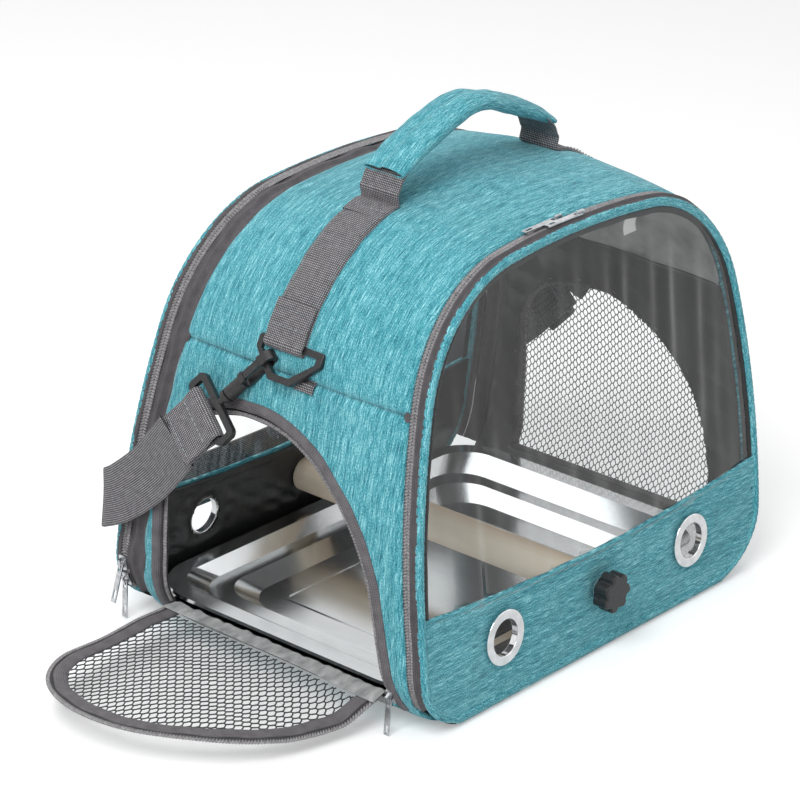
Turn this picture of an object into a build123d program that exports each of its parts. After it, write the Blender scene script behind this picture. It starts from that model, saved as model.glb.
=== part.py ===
"""Soft-sided bird travel carrier.

A zipped fabric cabin with a clear window panel at the front and another at the back, a net door in
the left wall that folds down to the ground, a fixed net window in the right wall, a lift-out steel
tray, a wooden perch held by two star knobs, a padded top handle and a clip-on shoulder strap.

Millimetres, +Z up.  The origin is on the ground under the middle of the cabin.  X runs along the
window panels, Y across the depth, and the front panel faces -Y.  The door wall faces -X.
"""
import os
from math import asin, cos, degrees, radians, sin, sqrt, tan

from build123d import *

os.makedirs("parts", exist_ok=True)

# ---------------------------------------------------------------- driving dimensions
# Cabin outline, seen from the front
bag_width = 375.0  # across the side walls at their widest
bag_height = 300.0  # ground to the crown of the roof
foot_radius = 49.0  # rounding where each side wall turns under
side_straight = 73.0  # height where the side walls start to lean in
side_radius = 554.0  # curve of the leaning side walls
crown_radius = 684.0  # curve of the roof
shoulder_radius = 108.0  # rounding between side wall and roof

# Cabin seen from the side
bag_depth = 272.0  # outer face of front panel to outer face of back panel, at the ground
lean_start = 25.0  # height where the end panels start to lean in
lean_radius = 325.0
lean_angle = 7.1

# Fabric layers
wall = 4.0  # padded outer fabric
lining = 1.2  # coated cabin lining
layer_gap = 0.3  # between soft layers of different pieces
piping_width = 6.0
piping_depth = 5.0
piping_inset = 2.5  # piping's outer edge, in from the cabin outline
tape = 1.5  # zip tape and its coil
front_zip_depth = 10.5  # coil behind the front panel's face
front_wall_depth = 14.0  # outer fabric starts here behind the front panel's face
back_wall_depth = 28.0  # the same, behind the back panel's face
seam_fall = 88.0  # the seam of side wall and roof below the crown
panel_foot = 20.0  # the panel zips end this far above the ground

# Window panels
band_height = 75.5  # top edge of the fabric band in its middle
band_radius = 1700.0  # gentle upward sweep of that edge
band_thickness = 2.4
film = 0.8
panel_hinge_depth = 4.0  # fold line of the panel, behind its face
panel_hinge_height = 6.0
eyelet_spacing = 204.0
eyelet_height = 47.5
eyelet_bore = 25.0
eyelet_diameter = 38.0
eyelet_thickness = 5.4
zip_gap = 0.3  # between the two halves of a panel zip
band_depth = 1.5  # outer face of the band behind the piping's face

# Door in the left wall
door_back = 85.5  # the opening's upright back edge, from the middle of the cabin
door_sill = 22.0
door_fall = 92.0  # its top end below the seam of the side wall
door_radii = (53.0, 95.0, 122.0)  # arch above it, from the back to the front
door_turns = (68.5, 49.5, 49.0)  # degrees that each of its arcs turns
door_gap = 0.6  # between the two rows of zip teeth
door_trim = 12.0  # binding and tape around the opening
door_binding = 9.0
door_zip = 5.0
door_thickness = 3.0
door_foot_cut = 2.5  # off the corner of the flap's zip half, to clear the frame's as the door folds
net = 0.9
door_hinge_x = 180.2  # fold line of the door, from the middle of the cabin

# Net window in the right wall
window_inset = 6.0  # smaller than the door opening all round
window_trim = 8.0

# Tray
tray_length = 340.0
tray_depth = 244.0
tray_rim_height = 24.6
tray_rim = 11.0
tray_corner = 28.0
tray_sheet = 0.8
tray_floor_length = 236.0
tray_floor_depth = 160.0
tray_step = 8.0
tray_draft = 24.0
tray_panel_length = 194.0  # stiffening bead pressed into the floor
tray_panel_depth = 124.0
tray_bead = 0.7
tray_bead_width = 3.0

# Perch and knobs
perch_diameter = 25.0
perch_height = 47.5
knob_diameter = 28.0
knob_lobe = 8.0
knob_lobes = 7
knob_height = 13.0
washer_diameter = 19.0
washer_thickness = 1.6
stud_diameter = 5.0
stud_grip = 7.0  # stud inside the perch
perch_bore = 8.4
running_gap = 0.3

# Handle
grip_width = 34.0
grip_thickness = 9.0
grip_half_length = 76.0
grip_rise = 27.0  # the grip's ends above the crown of the roof
grip_slope = 22.0
grip_radius = 60.0
webbing_width = 32.0
webbing = 2.2
webbing_foot = 83.0  # where the handle webbing meets the roof
webbing_lap = 20.0  # its cut end, above the ring

# Strap ring and shoulder strap
ring_fall = 68.0  # top edge of the ring below the crown of the roof
ring_drop = 27.0  # length of the ring below its top edge
ring_half = 27.0
ring_shoulder = 9.0  # depth of its upright corners
ring_toe = 9.0  # half width of its lower end
ring_bar = 4.6
ring_tilt = 30.0  # its lower end stands off the wall
ring_centre = -5.0
strap_width = 40.0
tab_width = 16.0
tab_start = 12.0  # edge of the tab, in front of the middle of the cabin
tab_thickness = 1.6
tab_reach = 6.0
strap = 2.4

# Snap hooks
eye_place = (-4.5, 42.0, -51.0)  # from the wall's widest place, the middle, and the top of the ring
eye_long = 52.0
eye_short = 16.0
eye_wire = 4.5
eye_depth = 4.0
hook_wire = 2.8
hook_inner = 5.8
hook_reach = 4.2  # inside of the loop's nose beyond the middle of the ring's bar
hook_throat = 22.0  # and beyond it the other way
hook_width = 7.0
barrel_diameter = 10.0
barrel_end = 36.0
stem_diameter = 5.0
shaft_gap = 0.1
gate_start = 4.0
gate_length = 14.0
gate_thickness = 2.2

# Shoulder strap: middle of the webbing on its way from the left hook round the back, from the
# cabin's back left corner, and the direction its outer face looks, in degrees from +X towards +Y
fold_length = 34.0  # doubled and stitched webbing behind the eye
strap_route = (
    ((-11.5, -42.0, 121.0), 180),
    ((-6.0, -14.0, 97.0), 172),
    ((-2.0, 3.0, 87.0), 140),
    ((10.5, 10.5, 81.0), 103),
    ((45.5, 15.0, 69.0), 94),
    ((92.5, 19.0, 60.0), 92),
    ((147.5, 23.0, 56.0), 91),
)
strap_clear = 24.0  # behind the back panel, clear of its knob, even unscrewed
strap_back_height = 55.0
adjuster_start = 12.0  # from the end of the fold
adjuster_length = 22.0
adjuster_wall = 3.0

# Zip sliders and their pulls
slider_length = 11.0
slider_half_width = 3.3
slider_plate = 1.8
slider_gap = 0.5  # slider above its tape
bridge_width = 1.6
bridge_half_length = 4.4
pull_level = 2.7  # underside of the pull above the slider's underside
pull_thickness = 1.0
pull_loop = 2.4
pull_width = 4.2
pull_length = 36.0
short_pull = 28.0
back_pull_swing = 24.0  # the hanging pulls stand off the fabric
door_pull_swing = 30.0
door_slider_offset = 3.6
pull_side = 2.4  # the two front pulls lie this far either side of the teeth

# ---------------------------------------------------------------- values that follow
half_width = bag_width / 2
half_depth = bag_depth / 2
lining_face = wall + layer_gap + lining
seam_height = bag_height - seam_fall
door_upright = seam_height - door_fall - door_sill
grip_end_height = bag_height + grip_rise
ring_top = bag_height - ring_fall
webbing_fold = ring_top + webbing_lap
far = 2 * bag_width
floor_half = half_width - foot_radius
base_depth = piping_depth + 2 * panel_hinge_depth - 3.0
liner_depth = band_depth + band_thickness
panel_inset = piping_inset + piping_width + layer_gap


def wall_x(z, inset=0.0):
    """Half width of the cabin outline at height z, above the foot curve."""
    rise = max(z - side_straight, 0)
    return half_width - side_radius + sqrt((side_radius - inset) ** 2 - rise**2)


def crown_z(x, inset=0.0):
    """Height of the crown arc above the ground at x from the middle."""
    return bag_height - crown_radius + sqrt((crown_radius - inset) ** 2 - x**2)


def panel_y(z):
    """Distance of an end panel's face from the middle of the cabin at height z."""
    bend = lean_radius * sin(radians(lean_angle))
    if z < lean_start:
        return half_depth
    if z < lean_start + bend:
        return half_depth - lean_radius + sqrt(lean_radius**2 - (z - lean_start) ** 2)
    drop = lean_radius * (1 - cos(radians(lean_angle)))
    return half_depth - drop - (z - lean_start - bend) * tan(radians(lean_angle))


def shoulder_corner(inset):
    """Where the side arc meets the crown arc, before the shoulder is rounded."""
    low, high = side_straight, bag_height
    for _ in range(60):
        middle = (low + high) / 2
        if crown_z(wall_x(middle, inset), inset) > middle:
            low = middle
        else:
            high = middle
    return wall_x(low, inset), low


def shoulder_centre():
    """Centre of the shoulder rounding, which touches the side arc and the crown arc inside."""
    side_x, side_z = half_width - side_radius, side_straight
    crown_centre = bag_height - crown_radius
    to_side, to_crown = side_radius - shoulder_radius, crown_radius - shoulder_radius
    span_x, span_z = side_x, side_z - crown_centre
    span = sqrt(span_x**2 + span_z**2)
    along = (to_crown**2 - to_side**2 + span**2) / (2 * span)
    across = sqrt(to_crown**2 - along**2)
    return (
        (along * span_x + across * span_z) / span,
        crown_centre + (along * span_z - across * span_x) / span,
    )


def roof_z(x, inset=0.0):
    """Height of the roof at x from the middle, over the crown and the shoulder."""
    centre_x, centre_z = shoulder_centre()
    tangent = centre_x * crown_radius / (crown_radius - shoulder_radius)
    if abs(x) < tangent:
        return crown_z(x, inset)
    return centre_z + sqrt((shoulder_radius - inset) ** 2 - (abs(x) - centre_x) ** 2)


def side_x(z, inset=0.0):
    """Half width at height z, over the leaning side and the shoulder."""
    centre_x, centre_z = shoulder_centre()
    tangent = side_straight + (centre_z - side_straight) * side_radius / (side_radius - shoulder_radius)
    if z < tangent:
        return wall_x(z, inset)
    return centre_x + sqrt((shoulder_radius - inset) ** 2 - (z - centre_z) ** 2)


def arch(inset=0.0):
    """Cabin outline in XZ: flat floor, rounded feet, leaning sides, rounded shoulders and crown."""
    corner_x, corner_z = shoulder_corner(inset)
    half, reach = half_width - inset, side_radius - inset
    with BuildSketch() as outline:
        with BuildLine():
            side = Line((half, inset), (half, side_straight))
            lean = RadiusArc(side @ 1, (corner_x, corner_z), -reach)
            crown = ThreePointArc(lean @ 1, (0, bag_height - inset), (-corner_x, corner_z))
            lean_back = RadiusArc(crown @ 1, (-half, side_straight), -reach)
            side_back = Line(lean_back @ 1, (-half, inset))
            Line(side_back @ 1, side @ 0)
        make_face()
        feet = outline.vertices().sort_by(Axis.Y)[:2]
        fillet(feet, foot_radius - inset)
        shoulders = [v for v in outline.vertices() if abs(v.Y - corner_z) < 0.01]
        fillet(shoulders, shoulder_radius - inset)
    return outline.sketch


def depth_band(outer, inner):
    """Side profile in YZ of a layer between two depths behind the front panel's leaning face."""
    with BuildSketch() as band:
        with BuildLine():
            reach = bag_height
            edges = []
            for depth in (outer, inner):
                foot = Line((depth - half_depth, -lean_start), (depth - half_depth, lean_start))
                bend = JernArc(foot @ 1, (0, 1), lean_radius, -lean_angle)
                edges.append((foot, PolarLine(bend @ 1, reach, 90 - lean_angle)))
            Line(edges[0][1] @ 1, edges[1][1] @ 1)
            Line(edges[0][0] @ 0, edges[1][0] @ 0)
        make_face()
    return band.sketch


def door_outline(inset=0.0):
    """Door opening above its sill.  The back edge is upright, three arcs carry on from it over the
    top, and the front edge runs straight on from them, sloping out to its foot."""
    with BuildSketch() as shape:
        with BuildLine():
            back = Line((door_back - inset, inset), (door_back - inset, door_upright))
            start, heading = back @ 1, back % 1
            for radius, turn in zip(door_radii, door_turns):
                arc = JernArc(start, heading, radius - inset, turn)
                start, heading = arc @ 1, arc % 1
            front = Line(start, start + heading * ((inset - start.Y) / heading.Y))
            Line(front @ 1, back @ 0)
        make_face()
    return shape.sketch


def window_outline(inset=0.0):
    """The fixed net window: the same outline as the door, drawn smaller."""
    return door_outline(window_inset + inset)


def band_region(gap=0.0):
    """Area in XZ under the swept top edge of the window band."""
    with BuildSketch() as region:
        Rectangle(bag_width, bag_height, align=(Align.CENTER, Align.MIN))
        with Locations((0, band_height - gap + band_radius)):
            Circle(band_radius, mode=Mode.SUBTRACT)
    return region.sketch


def finish(part, name, colour):
    """Label a finished piece and write it."""
    part.label = name
    part.color = Color(*colour)
    export_step(part, f"parts/{name}.step")


# Colours
teal = (0.22, 0.62, 0.66)
grey = (0.33, 0.32, 0.33)
dark = (0.12, 0.12, 0.13)
steel = (0.75, 0.76, 0.78)
clear = (0.8, 0.88, 0.9, 0.3)
wood = (0.86, 0.74, 0.58)


door_plane = Plane((0, 0, door_sill), x_dir=(0, 1, 0), z_dir=(1, 0, 0))

# ---------------------------------------------------------------- cabin walls
# Left wall: padded fabric from the roof seam down to the foot, with the door opening cut in it
with BuildPart() as left_wall:
    with BuildSketch(Plane.XZ):
        add(arch())
        add(arch(wall), mode=Mode.SUBTRACT)
        with Locations((0, seam_height)):
            Rectangle(far, far, align=(Align.CENTER, Align.MIN), mode=Mode.SUBTRACT)
        with Locations((-floor_half, 0)):
            Rectangle(far, far, align=(Align.MIN, Align.CENTER), mode=Mode.SUBTRACT)
    extrude(amount=half_depth, both=True)
    with BuildSketch(Plane.YZ):
        add(depth_band(front_wall_depth, half_depth))
        mirror(depth_band(back_wall_depth, half_depth), about=Plane.YZ)
    extrude(amount=far, both=True, mode=Mode.INTERSECT)
    with BuildSketch(door_plane):
        add(door_outline(-door_trim))
    extrude(amount=-far, mode=Mode.SUBTRACT)
finish(left_wall.part, "left_wall", teal)

# Right wall: the same panel with the net window's opening
with BuildPart() as right_wall:
    with BuildSketch(Plane.XZ):
        add(arch())
        add(arch(wall), mode=Mode.SUBTRACT)
        with Locations((0, seam_height)):
            Rectangle(far, far, align=(Align.CENTER, Align.MIN), mode=Mode.SUBTRACT)
        with Locations((floor_half, 0)):
            Rectangle(far, far, align=(Align.MAX, Align.CENTER), mode=Mode.SUBTRACT)
    extrude(amount=half_depth, both=True)
    with BuildSketch(Plane.YZ):
        add(depth_band(front_wall_depth, half_depth))
        mirror(depth_band(back_wall_depth, half_depth), about=Plane.YZ)
    extrude(amount=far, both=True, mode=Mode.INTERSECT)
    with BuildSketch(door_plane):
        add(window_outline(-window_trim))
    extrude(amount=far, mode=Mode.SUBTRACT)
finish(right_wall.part, "right_wall", teal)

# Roof: one fabric piece over both shoulders
with BuildPart() as roof:
    with BuildSketch(Plane.XZ):
        add(arch())
        add(arch(wall), mode=Mode.SUBTRACT)
        with Locations((0, seam_height)):
            Rectangle(far, far, align=(Align.CENTER, Align.MAX), mode=Mode.SUBTRACT)
    extrude(amount=half_depth, both=True)
    with BuildSketch(Plane.YZ):
        add(depth_band(front_wall_depth, half_depth))
        mirror(depth_band(back_wall_depth, half_depth), about=Plane.YZ)
    extrude(amount=far, both=True, mode=Mode.INTERSECT)
finish(roof.part, "roof", teal)

# Base: the flat fabric bottom between the feet, stopping short of the folding panels
with BuildPart() as base:
    with BuildSketch(Plane.XZ):
        with Locations((0, wall / 2)):
            Rectangle(2 * floor_half, wall)
    extrude(amount=half_depth - base_depth, both=True)
finish(base.part, "base", dark)

# Cabin lining: coated cloth inside the roof, walls and floor
with BuildPart() as cabin_lining:
    with BuildSketch(Plane.XZ):
        add(arch(wall + layer_gap))
        add(arch(lining_face), mode=Mode.SUBTRACT)
    extrude(amount=half_depth, both=True)
    with BuildSketch(Plane.YZ):
        add(depth_band(front_wall_depth, half_depth))
        mirror(depth_band(back_wall_depth, half_depth), about=Plane.YZ)
    extrude(amount=far, both=True, mode=Mode.INTERSECT)
    with BuildSketch(door_plane):
        add(door_outline(-door_trim))
    extrude(amount=-far, mode=Mode.SUBTRACT)
    with BuildSketch(door_plane):
        add(window_outline(-window_trim))
    extrude(amount=far, mode=Mode.SUBTRACT)
finish(cabin_lining.part, "cabin_lining", dark)

# Binding round the door opening, through wall and lining
with BuildPart() as door_frame_binding:
    with BuildSketch(Plane.XZ):
        add(arch())
        add(arch(lining_face), mode=Mode.SUBTRACT)
    extrude(amount=half_depth, both=True)
    with BuildSketch(door_plane):
        add(door_outline(-door_trim))
        add(door_outline(-door_zip), mode=Mode.SUBTRACT)
    extrude(amount=-far, mode=Mode.INTERSECT)
finish(door_frame_binding.part, "door_frame_binding", grey)

# Zip half sewn inside that binding, its teeth facing the door
with BuildPart() as door_frame_zip:
    with BuildSketch(Plane.XZ):
        add(arch(lining))
        add(arch(lining + 2 * tape), mode=Mode.SUBTRACT)
    extrude(amount=half_depth, both=True)
    with BuildSketch(door_plane):
        add(door_outline(-door_zip))
        add(door_outline(), mode=Mode.SUBTRACT)
    extrude(amount=-far, mode=Mode.INTERSECT)
finish(door_frame_zip.part, "door_frame_zip", dark)

# Binding and net of the fixed side window
with BuildPart() as window_binding:
    with BuildSketch(Plane.XZ):
        add(arch())
        add(arch(lining_face), mode=Mode.SUBTRACT)
    extrude(amount=half_depth, both=True)
    with BuildSketch(door_plane):
        add(window_outline(-window_trim))
        add(window_outline(), mode=Mode.SUBTRACT)
    extrude(amount=far, mode=Mode.INTERSECT)
finish(window_binding.part, "window_binding", grey)

with BuildPart() as window_net:
    with BuildSketch(Plane.XZ):
        add(arch(wall / 2))
        add(arch(wall / 2 + net), mode=Mode.SUBTRACT)
    extrude(amount=half_depth, both=True)
    with BuildSketch(door_plane):
        add(window_outline())
    extrude(amount=far, mode=Mode.INTERSECT)
finish(window_net.part, "window_net", dark)

# Zip halves that stay on the cabin, round the front and the back
zip_inset = piping_inset + tape
for side, wall_start in (("front", front_wall_depth), ("back", back_wall_depth)):
    with BuildPart() as cabin_zip:
        with BuildSketch(Plane.XZ):
            add(arch(piping_inset))
            add(arch(zip_inset), mode=Mode.SUBTRACT)
            with Locations((0, panel_foot)):
                Rectangle(far, far, align=(Align.CENTER, Align.MAX), mode=Mode.SUBTRACT)
        extrude(amount=half_depth, both=True)
        with BuildSketch(Plane.YZ):
            add(depth_band(front_zip_depth, wall_start))
        extrude(amount=far, both=True, mode=Mode.INTERSECT)
        if side == "back":
            mirror(about=Plane.XZ, mode=Mode.REPLACE)
    finish(cabin_zip.part, f"{side}_cabin_zip", grey)

# ---------------------------------------------------------------- window panels
for side in ("front", "back"):
    # Piping: fabric-covered cord round the whole panel
    with BuildPart() as piping:
        with BuildSketch(Plane.XZ):
            add(arch(piping_inset))
            add(arch(piping_inset + piping_width), mode=Mode.SUBTRACT)
        extrude(amount=half_depth, both=True)
        with BuildSketch(Plane.YZ):
            add(depth_band(0, piping_depth))
        extrude(amount=far, both=True, mode=Mode.INTERSECT)
        if side == "back":
            mirror(about=Plane.XZ, mode=Mode.REPLACE)
    finish(piping.part, f"{side}_piping", teal)

    # Zip half on the panel, behind the piping
    with BuildPart() as panel_zip:
        with BuildSketch(Plane.XZ):
            add(arch(piping_inset))
            add(arch(zip_inset), mode=Mode.SUBTRACT)
            with Locations((0, panel_foot)):
                Rectangle(far, far, align=(Align.CENTER, Align.MAX), mode=Mode.SUBTRACT)
        extrude(amount=half_depth, both=True)
        with BuildSketch(Plane.YZ):
            add(depth_band(piping_depth, front_zip_depth - zip_gap))
        extrude(amount=far, both=True, mode=Mode.INTERSECT)
        if side == "back":
            mirror(about=Plane.XZ, mode=Mode.REPLACE)
    finish(panel_zip.part, f"{side}_panel_zip", grey)

    # Clear window film above the band
    with BuildPart() as window:
        with BuildSketch(Plane.XZ):
            add(arch(panel_inset))
            add(band_region(), mode=Mode.SUBTRACT)
        extrude(amount=half_depth, both=True)
        with BuildSketch(Plane.YZ):
            add(depth_band(band_depth, band_depth + film))
        extrude(amount=far, both=True, mode=Mode.INTERSECT)
        if side == "back":
            mirror(about=Plane.XZ, mode=Mode.REPLACE)
    finish(window.part, f"{side}_window", clear)

    # Fabric band along the bottom, with holes for the eyelets and the perch stud
    with BuildPart() as band:
        with BuildSketch(Plane.XZ):
            add(arch(panel_inset))
            add(band_region(), mode=Mode.INTERSECT)
            with Locations((0, eyelet_height)):
                with GridLocations(eyelet_spacing, 1, 2, 1):
                    Circle(eyelet_bore / 2 + 2.5, mode=Mode.SUBTRACT)
            with Locations((0, perch_height)):
                Circle(stud_diameter / 2 + 1, mode=Mode.SUBTRACT)
        extrude(amount=half_depth, both=True)
        with BuildSketch(Plane.YZ):
            add(depth_band(band_depth, liner_depth))
        extrude(amount=far, both=True, mode=Mode.INTERSECT)
        if side == "back":
            mirror(about=Plane.XZ, mode=Mode.REPLACE)
    finish(band.part, f"{side}_band", teal)

    # Coated lining behind the band
    with BuildPart() as band_lining:
        with BuildSketch(Plane.XZ):
            add(arch(panel_inset + wall))
            add(band_region(wall), mode=Mode.INTERSECT)
            with Locations((0, eyelet_height)):
                with GridLocations(eyelet_spacing, 1, 2, 1):
                    Circle(eyelet_diameter / 2 + 1, mode=Mode.SUBTRACT)
            with Locations((0, perch_height)):
                Circle(stud_diameter / 2 + 1, mode=Mode.SUBTRACT)
        extrude(amount=half_depth, both=True)
        with BuildSketch(Plane.YZ):
            add(depth_band(liner_depth, liner_depth + lining))
        extrude(amount=far, both=True, mode=Mode.INTERSECT)
        if side == "back":
            mirror(about=Plane.XZ, mode=Mode.REPLACE)
    finish(band_lining.part, f"{side}_band_lining", dark)

    # Eyelets: rolled metal rings that clamp the band's edge
    eyelet_y = -panel_y(eyelet_height) + band_depth + band_thickness / 2
    tilt = degrees(asin((eyelet_height - lean_start) / lean_radius))
    eyelet_plane = Plane((0, eyelet_y, eyelet_height), x_dir=(1, 0, 0), z_dir=(0, -1, 0))
    with BuildPart() as eyelets:
        with BuildSketch(eyelet_plane.rotated((-tilt, 0, 0))):
            with GridLocations(eyelet_spacing, 1, 2, 1):
                Circle(eyelet_diameter / 2)
                Circle(eyelet_bore / 2, mode=Mode.SUBTRACT)
        extrude(amount=eyelet_thickness / 2, both=True)
        fillet(eyelets.edges().filter_by(GeomType.CIRCLE), 0.6)
        with BuildSketch(eyelet_plane.rotated((-tilt, 0, 0))):
            with GridLocations(eyelet_spacing, 1, 2, 1):
                Circle(eyelet_diameter)
                Circle(eyelet_bore / 2 + 2, mode=Mode.SUBTRACT)
        extrude(amount=band_thickness / 2 + 0.8, both=True, mode=Mode.SUBTRACT)
        if side == "back":
            mirror(about=Plane.XZ, mode=Mode.REPLACE)
    finish(eyelets.part, f"{side}_eyelets", steel)

# ---------------------------------------------------------------- door, folded down level
root = Plane((-door_hinge_x, 0, door_sill + layer_gap), x_dir=(0, 1, 0), z_dir=(0, 0, 1))
with BuildPart() as flap_binding:
    with BuildSketch(root):
        add(door_outline(door_gap + door_zip))
        add(door_outline(door_gap + door_zip + door_binding), mode=Mode.SUBTRACT)
    extrude(amount=door_thickness)
finish(flap_binding.part, "door_binding", grey)

with BuildPart() as door_zip_half:
    with BuildSketch(root) as flap_edge:
        add(door_outline(door_gap))
        chamfer(flap_edge.vertices().sort_by(Axis.X)[0], door_foot_cut)
        add(door_outline(door_gap + door_zip), mode=Mode.SUBTRACT)
    extrude(amount=2 * tape)
finish(door_zip_half.part, "door_zip_half", dark)

with BuildPart() as door_net:
    with BuildSketch(root.offset(door_thickness / 2 - net / 2)):
        add(door_outline(door_gap + door_zip + door_binding))
    extrude(amount=net)
finish(door_net.part, "door_net", dark)

# ---------------------------------------------------------------- tray
def tray_form(shrink, lift):
    """Solid inside one face of the tray: a stepped, tapering dish with rounded corners."""
    levels = (
        (tray_floor_length, tray_floor_depth, 0),
        (tray_floor_length + tray_draft, tray_floor_depth + tray_draft, tray_step),
        (tray_floor_length + 2 * tray_draft, tray_floor_depth + 2 * tray_draft, tray_step),
        (tray_length - 2 * tray_rim, tray_depth - 2 * tray_rim, tray_rim_height - tray_base),
    )
    with BuildPart() as form:
        for low, high in ((0, 1), (2, 3)):
            for length, depth, height in (levels[low], levels[high]):
                with BuildSketch(Plane.XY.offset(tray_base + height + lift)):
                    RectangleRounded(length - shrink, depth - shrink, tray_corner - shrink)
            loft()
    return form.part


tray_base = lining_face + layer_gap
with BuildPart() as tray:
    add(tray_form(0, 0))
    with BuildSketch(Plane.XY.offset(tray_rim_height - tray_sheet)):
        RectangleRounded(tray_length, tray_depth, tray_corner + tray_rim)
    extrude(amount=tray_sheet)
    add(tray_form(2 * tray_sheet, tray_sheet), mode=Mode.SUBTRACT)
    with BuildSketch(Plane.XY.offset(tray_rim_height - 3 * tray_sheet)):
        RectangleRounded(tray_length, tray_depth, tray_corner + tray_rim)
        inner = 2 * tray_sheet
        RectangleRounded(
            tray_length - inner, tray_depth - inner, tray_corner + tray_rim - tray_sheet, mode=Mode.SUBTRACT
        )
    extrude(amount=2 * tray_sheet)
    with BuildSketch(Plane.XY.offset(tray_base + tray_sheet)):
        RectangleRounded(tray_panel_length, tray_panel_depth, tray_bead_width + 2)
        inner = 2 * tray_bead_width
        RectangleRounded(tray_panel_length - inner, tray_panel_depth - inner, 2, mode=Mode.SUBTRACT)
    extrude(amount=tray_bead)
finish(tray.part, "tray", steel)

# ---------------------------------------------------------------- perch
perch_end = panel_y(perch_height + perch_diameter / 2) - liner_depth - lining - running_gap
perch_plane = Plane((0, perch_end, perch_height), x_dir=(1, 0, 0), z_dir=(0, 1, 0))
with BuildPart() as perch:
    with BuildSketch(perch_plane):
        Circle(perch_diameter / 2)
    extrude(amount=-2 * perch_end)
    chamfer(perch.edges().filter_by(GeomType.CIRCLE), 0.8)
    for end, way in ((perch_end, -1), (-perch_end, 1)):
        with BuildSketch(Plane((0, end, perch_height), x_dir=(1, 0, 0), z_dir=(0, way, 0))):
            Circle(perch_bore / 2)
        extrude(amount=stud_grip + 2, mode=Mode.SUBTRACT)
finish(perch.part, "perch", wood)

# ---------------------------------------------------------------- star knobs, studs and washers
washer_seat = panel_y(perch_height - washer_diameter / 2) - band_depth + layer_gap
knob_seat = washer_seat + washer_thickness
for side, way in (("front", -1), ("back", 1)):
    seat_plane = Plane((0, way * washer_seat, perch_height), x_dir=(1, 0, 0), z_dir=(0, way, 0))
    with BuildPart() as washer:
        with BuildSketch(seat_plane):
            Circle(washer_diameter / 2)
            Circle(stud_diameter / 2 + 0.4, mode=Mode.SUBTRACT)
        extrude(amount=washer_thickness)
        chamfer(washer.faces().sort_by(Axis.Y)[0 if way < 0 else -1].edges(), 0.4)
    finish(washer.part, f"{side}_washer", steel)

    with BuildPart() as knob:
        with BuildSketch(seat_plane.offset(washer_thickness + 0.1)):
            Circle(washer_diameter / 2 - 1)
        extrude(amount=3)
        with BuildSketch(seat_plane.offset(washer_thickness + 2)):
            Circle(knob_diameter / 2 - knob_lobe / 3)
            with PolarLocations(knob_diameter / 2 - knob_lobe / 2, knob_lobes):
                Circle(knob_lobe / 2)
        extrude(amount=knob_height - 2)
        chamfer(knob.faces().sort_by(Axis.Y)[0 if way < 0 else -1].edges(), 1.2)
        with BuildSketch(seat_plane.offset(washer_thickness)):
            Circle(stud_diameter / 2)
        extrude(amount=knob_height / 2, mode=Mode.SUBTRACT)
    finish(knob.part, f"{side}_knob", dark)

    with BuildPart() as stud:
        with BuildSketch(seat_plane.offset(washer_thickness + knob_height / 2)):
            Circle(stud_diameter / 2)
        extrude(amount=-(knob_seat + knob_height / 2 - perch_end + stud_grip))
        chamfer(stud.edges().filter_by(GeomType.CIRCLE), 0.5)
    finish(stud.part, f"{side}_stud", steel)

# ---------------------------------------------------------------- carrying handle
apex = grip_end_height + grip_half_length * tan(radians(grip_slope))
with BuildPart() as grip:
    with BuildSketch(Plane.XZ):
        with BuildLine():
            FilletPolyline(
                (-grip_half_length, grip_end_height), (0, apex), (grip_half_length, grip_end_height),
                radius=grip_radius,
            )
        trace(line_width=grip_thickness)
    extrude(amount=grip_width / 2, both=True)
    fillet(grip.edges().filter_by(Axis.Y, reverse=True), grip_thickness / 3)
finish(grip.part, "handle_grip", teal)

# Webbing from the grip down over the roof and the side, round the strap ring's bar and up again
ring_foot = side_x(ring_top) + webbing + layer_gap
ring_slope = radians(ring_tilt)
ring_normal = Vector(-cos(ring_slope), 0, sin(ring_slope))
ring_plane = Plane((-ring_foot, ring_centre, ring_top), x_dir=(0, 1, 0), z_dir=ring_normal)
bar_wrap = webbing / 2 + layer_gap
webbing_end = ring_top - ring_bar - webbing
wrap = [
    ring_plane.from_local_coords(Vector(0, down, out))
    for down, out in ((ring_bar + bar_wrap, 0), (ring_bar + bar_wrap, ring_bar + bar_wrap), (0, ring_bar + bar_wrap))
]
for side in ("left", "right"):
    with BuildPart() as handle_webbing:
        with BuildSketch(Plane.XZ):
            add(arch(-webbing))
            add(arch(), mode=Mode.SUBTRACT)
            with Locations((-webbing_foot, 0)):
                Rectangle(far, far, align=(Align.MIN, Align.CENTER), mode=Mode.SUBTRACT)
            with Locations((0, webbing_end)):
                Rectangle(far, far, align=(Align.CENTER, Align.MAX), mode=Mode.SUBTRACT)
        extrude(amount=webbing_width / 2, both=True)
        with BuildSketch(Plane.XZ):
            with BuildLine():
                FilletPolyline(
                    (-side_x(webbing_end, -webbing / 2), webbing_end), *[(spot.X, spot.Z) for spot in wrap],
                    (-side_x(webbing_fold, -3 * webbing / 2) - 0.1, webbing_fold), radius=webbing,
                )
            trace(line_width=webbing)
        extrude(amount=webbing_width / 2, both=True)
        with BuildSketch(Plane.XZ):
            with BuildLine():
                start, rise = webbing_foot + 8, webbing_foot
                arm = radians(grip_slope)
                FilletPolyline(
                    (-start, roof_z(start, -webbing / 2) + 0.1),
                    (-rise, roof_z(rise, -webbing / 2) + 0.1),
                    (-grip_half_length - 6 * cos(arm), grip_end_height - 6 * sin(arm)),
                    (-grip_half_length, grip_end_height),
                    radius=2.5,
                )
            trace(line_width=webbing)
        extrude(amount=webbing_width / 2, both=True)
        if side == "right":
            mirror(about=Plane.YZ, mode=Mode.REPLACE)
    finish(handle_webbing.part, f"{side}_handle_webbing", grey)


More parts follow.
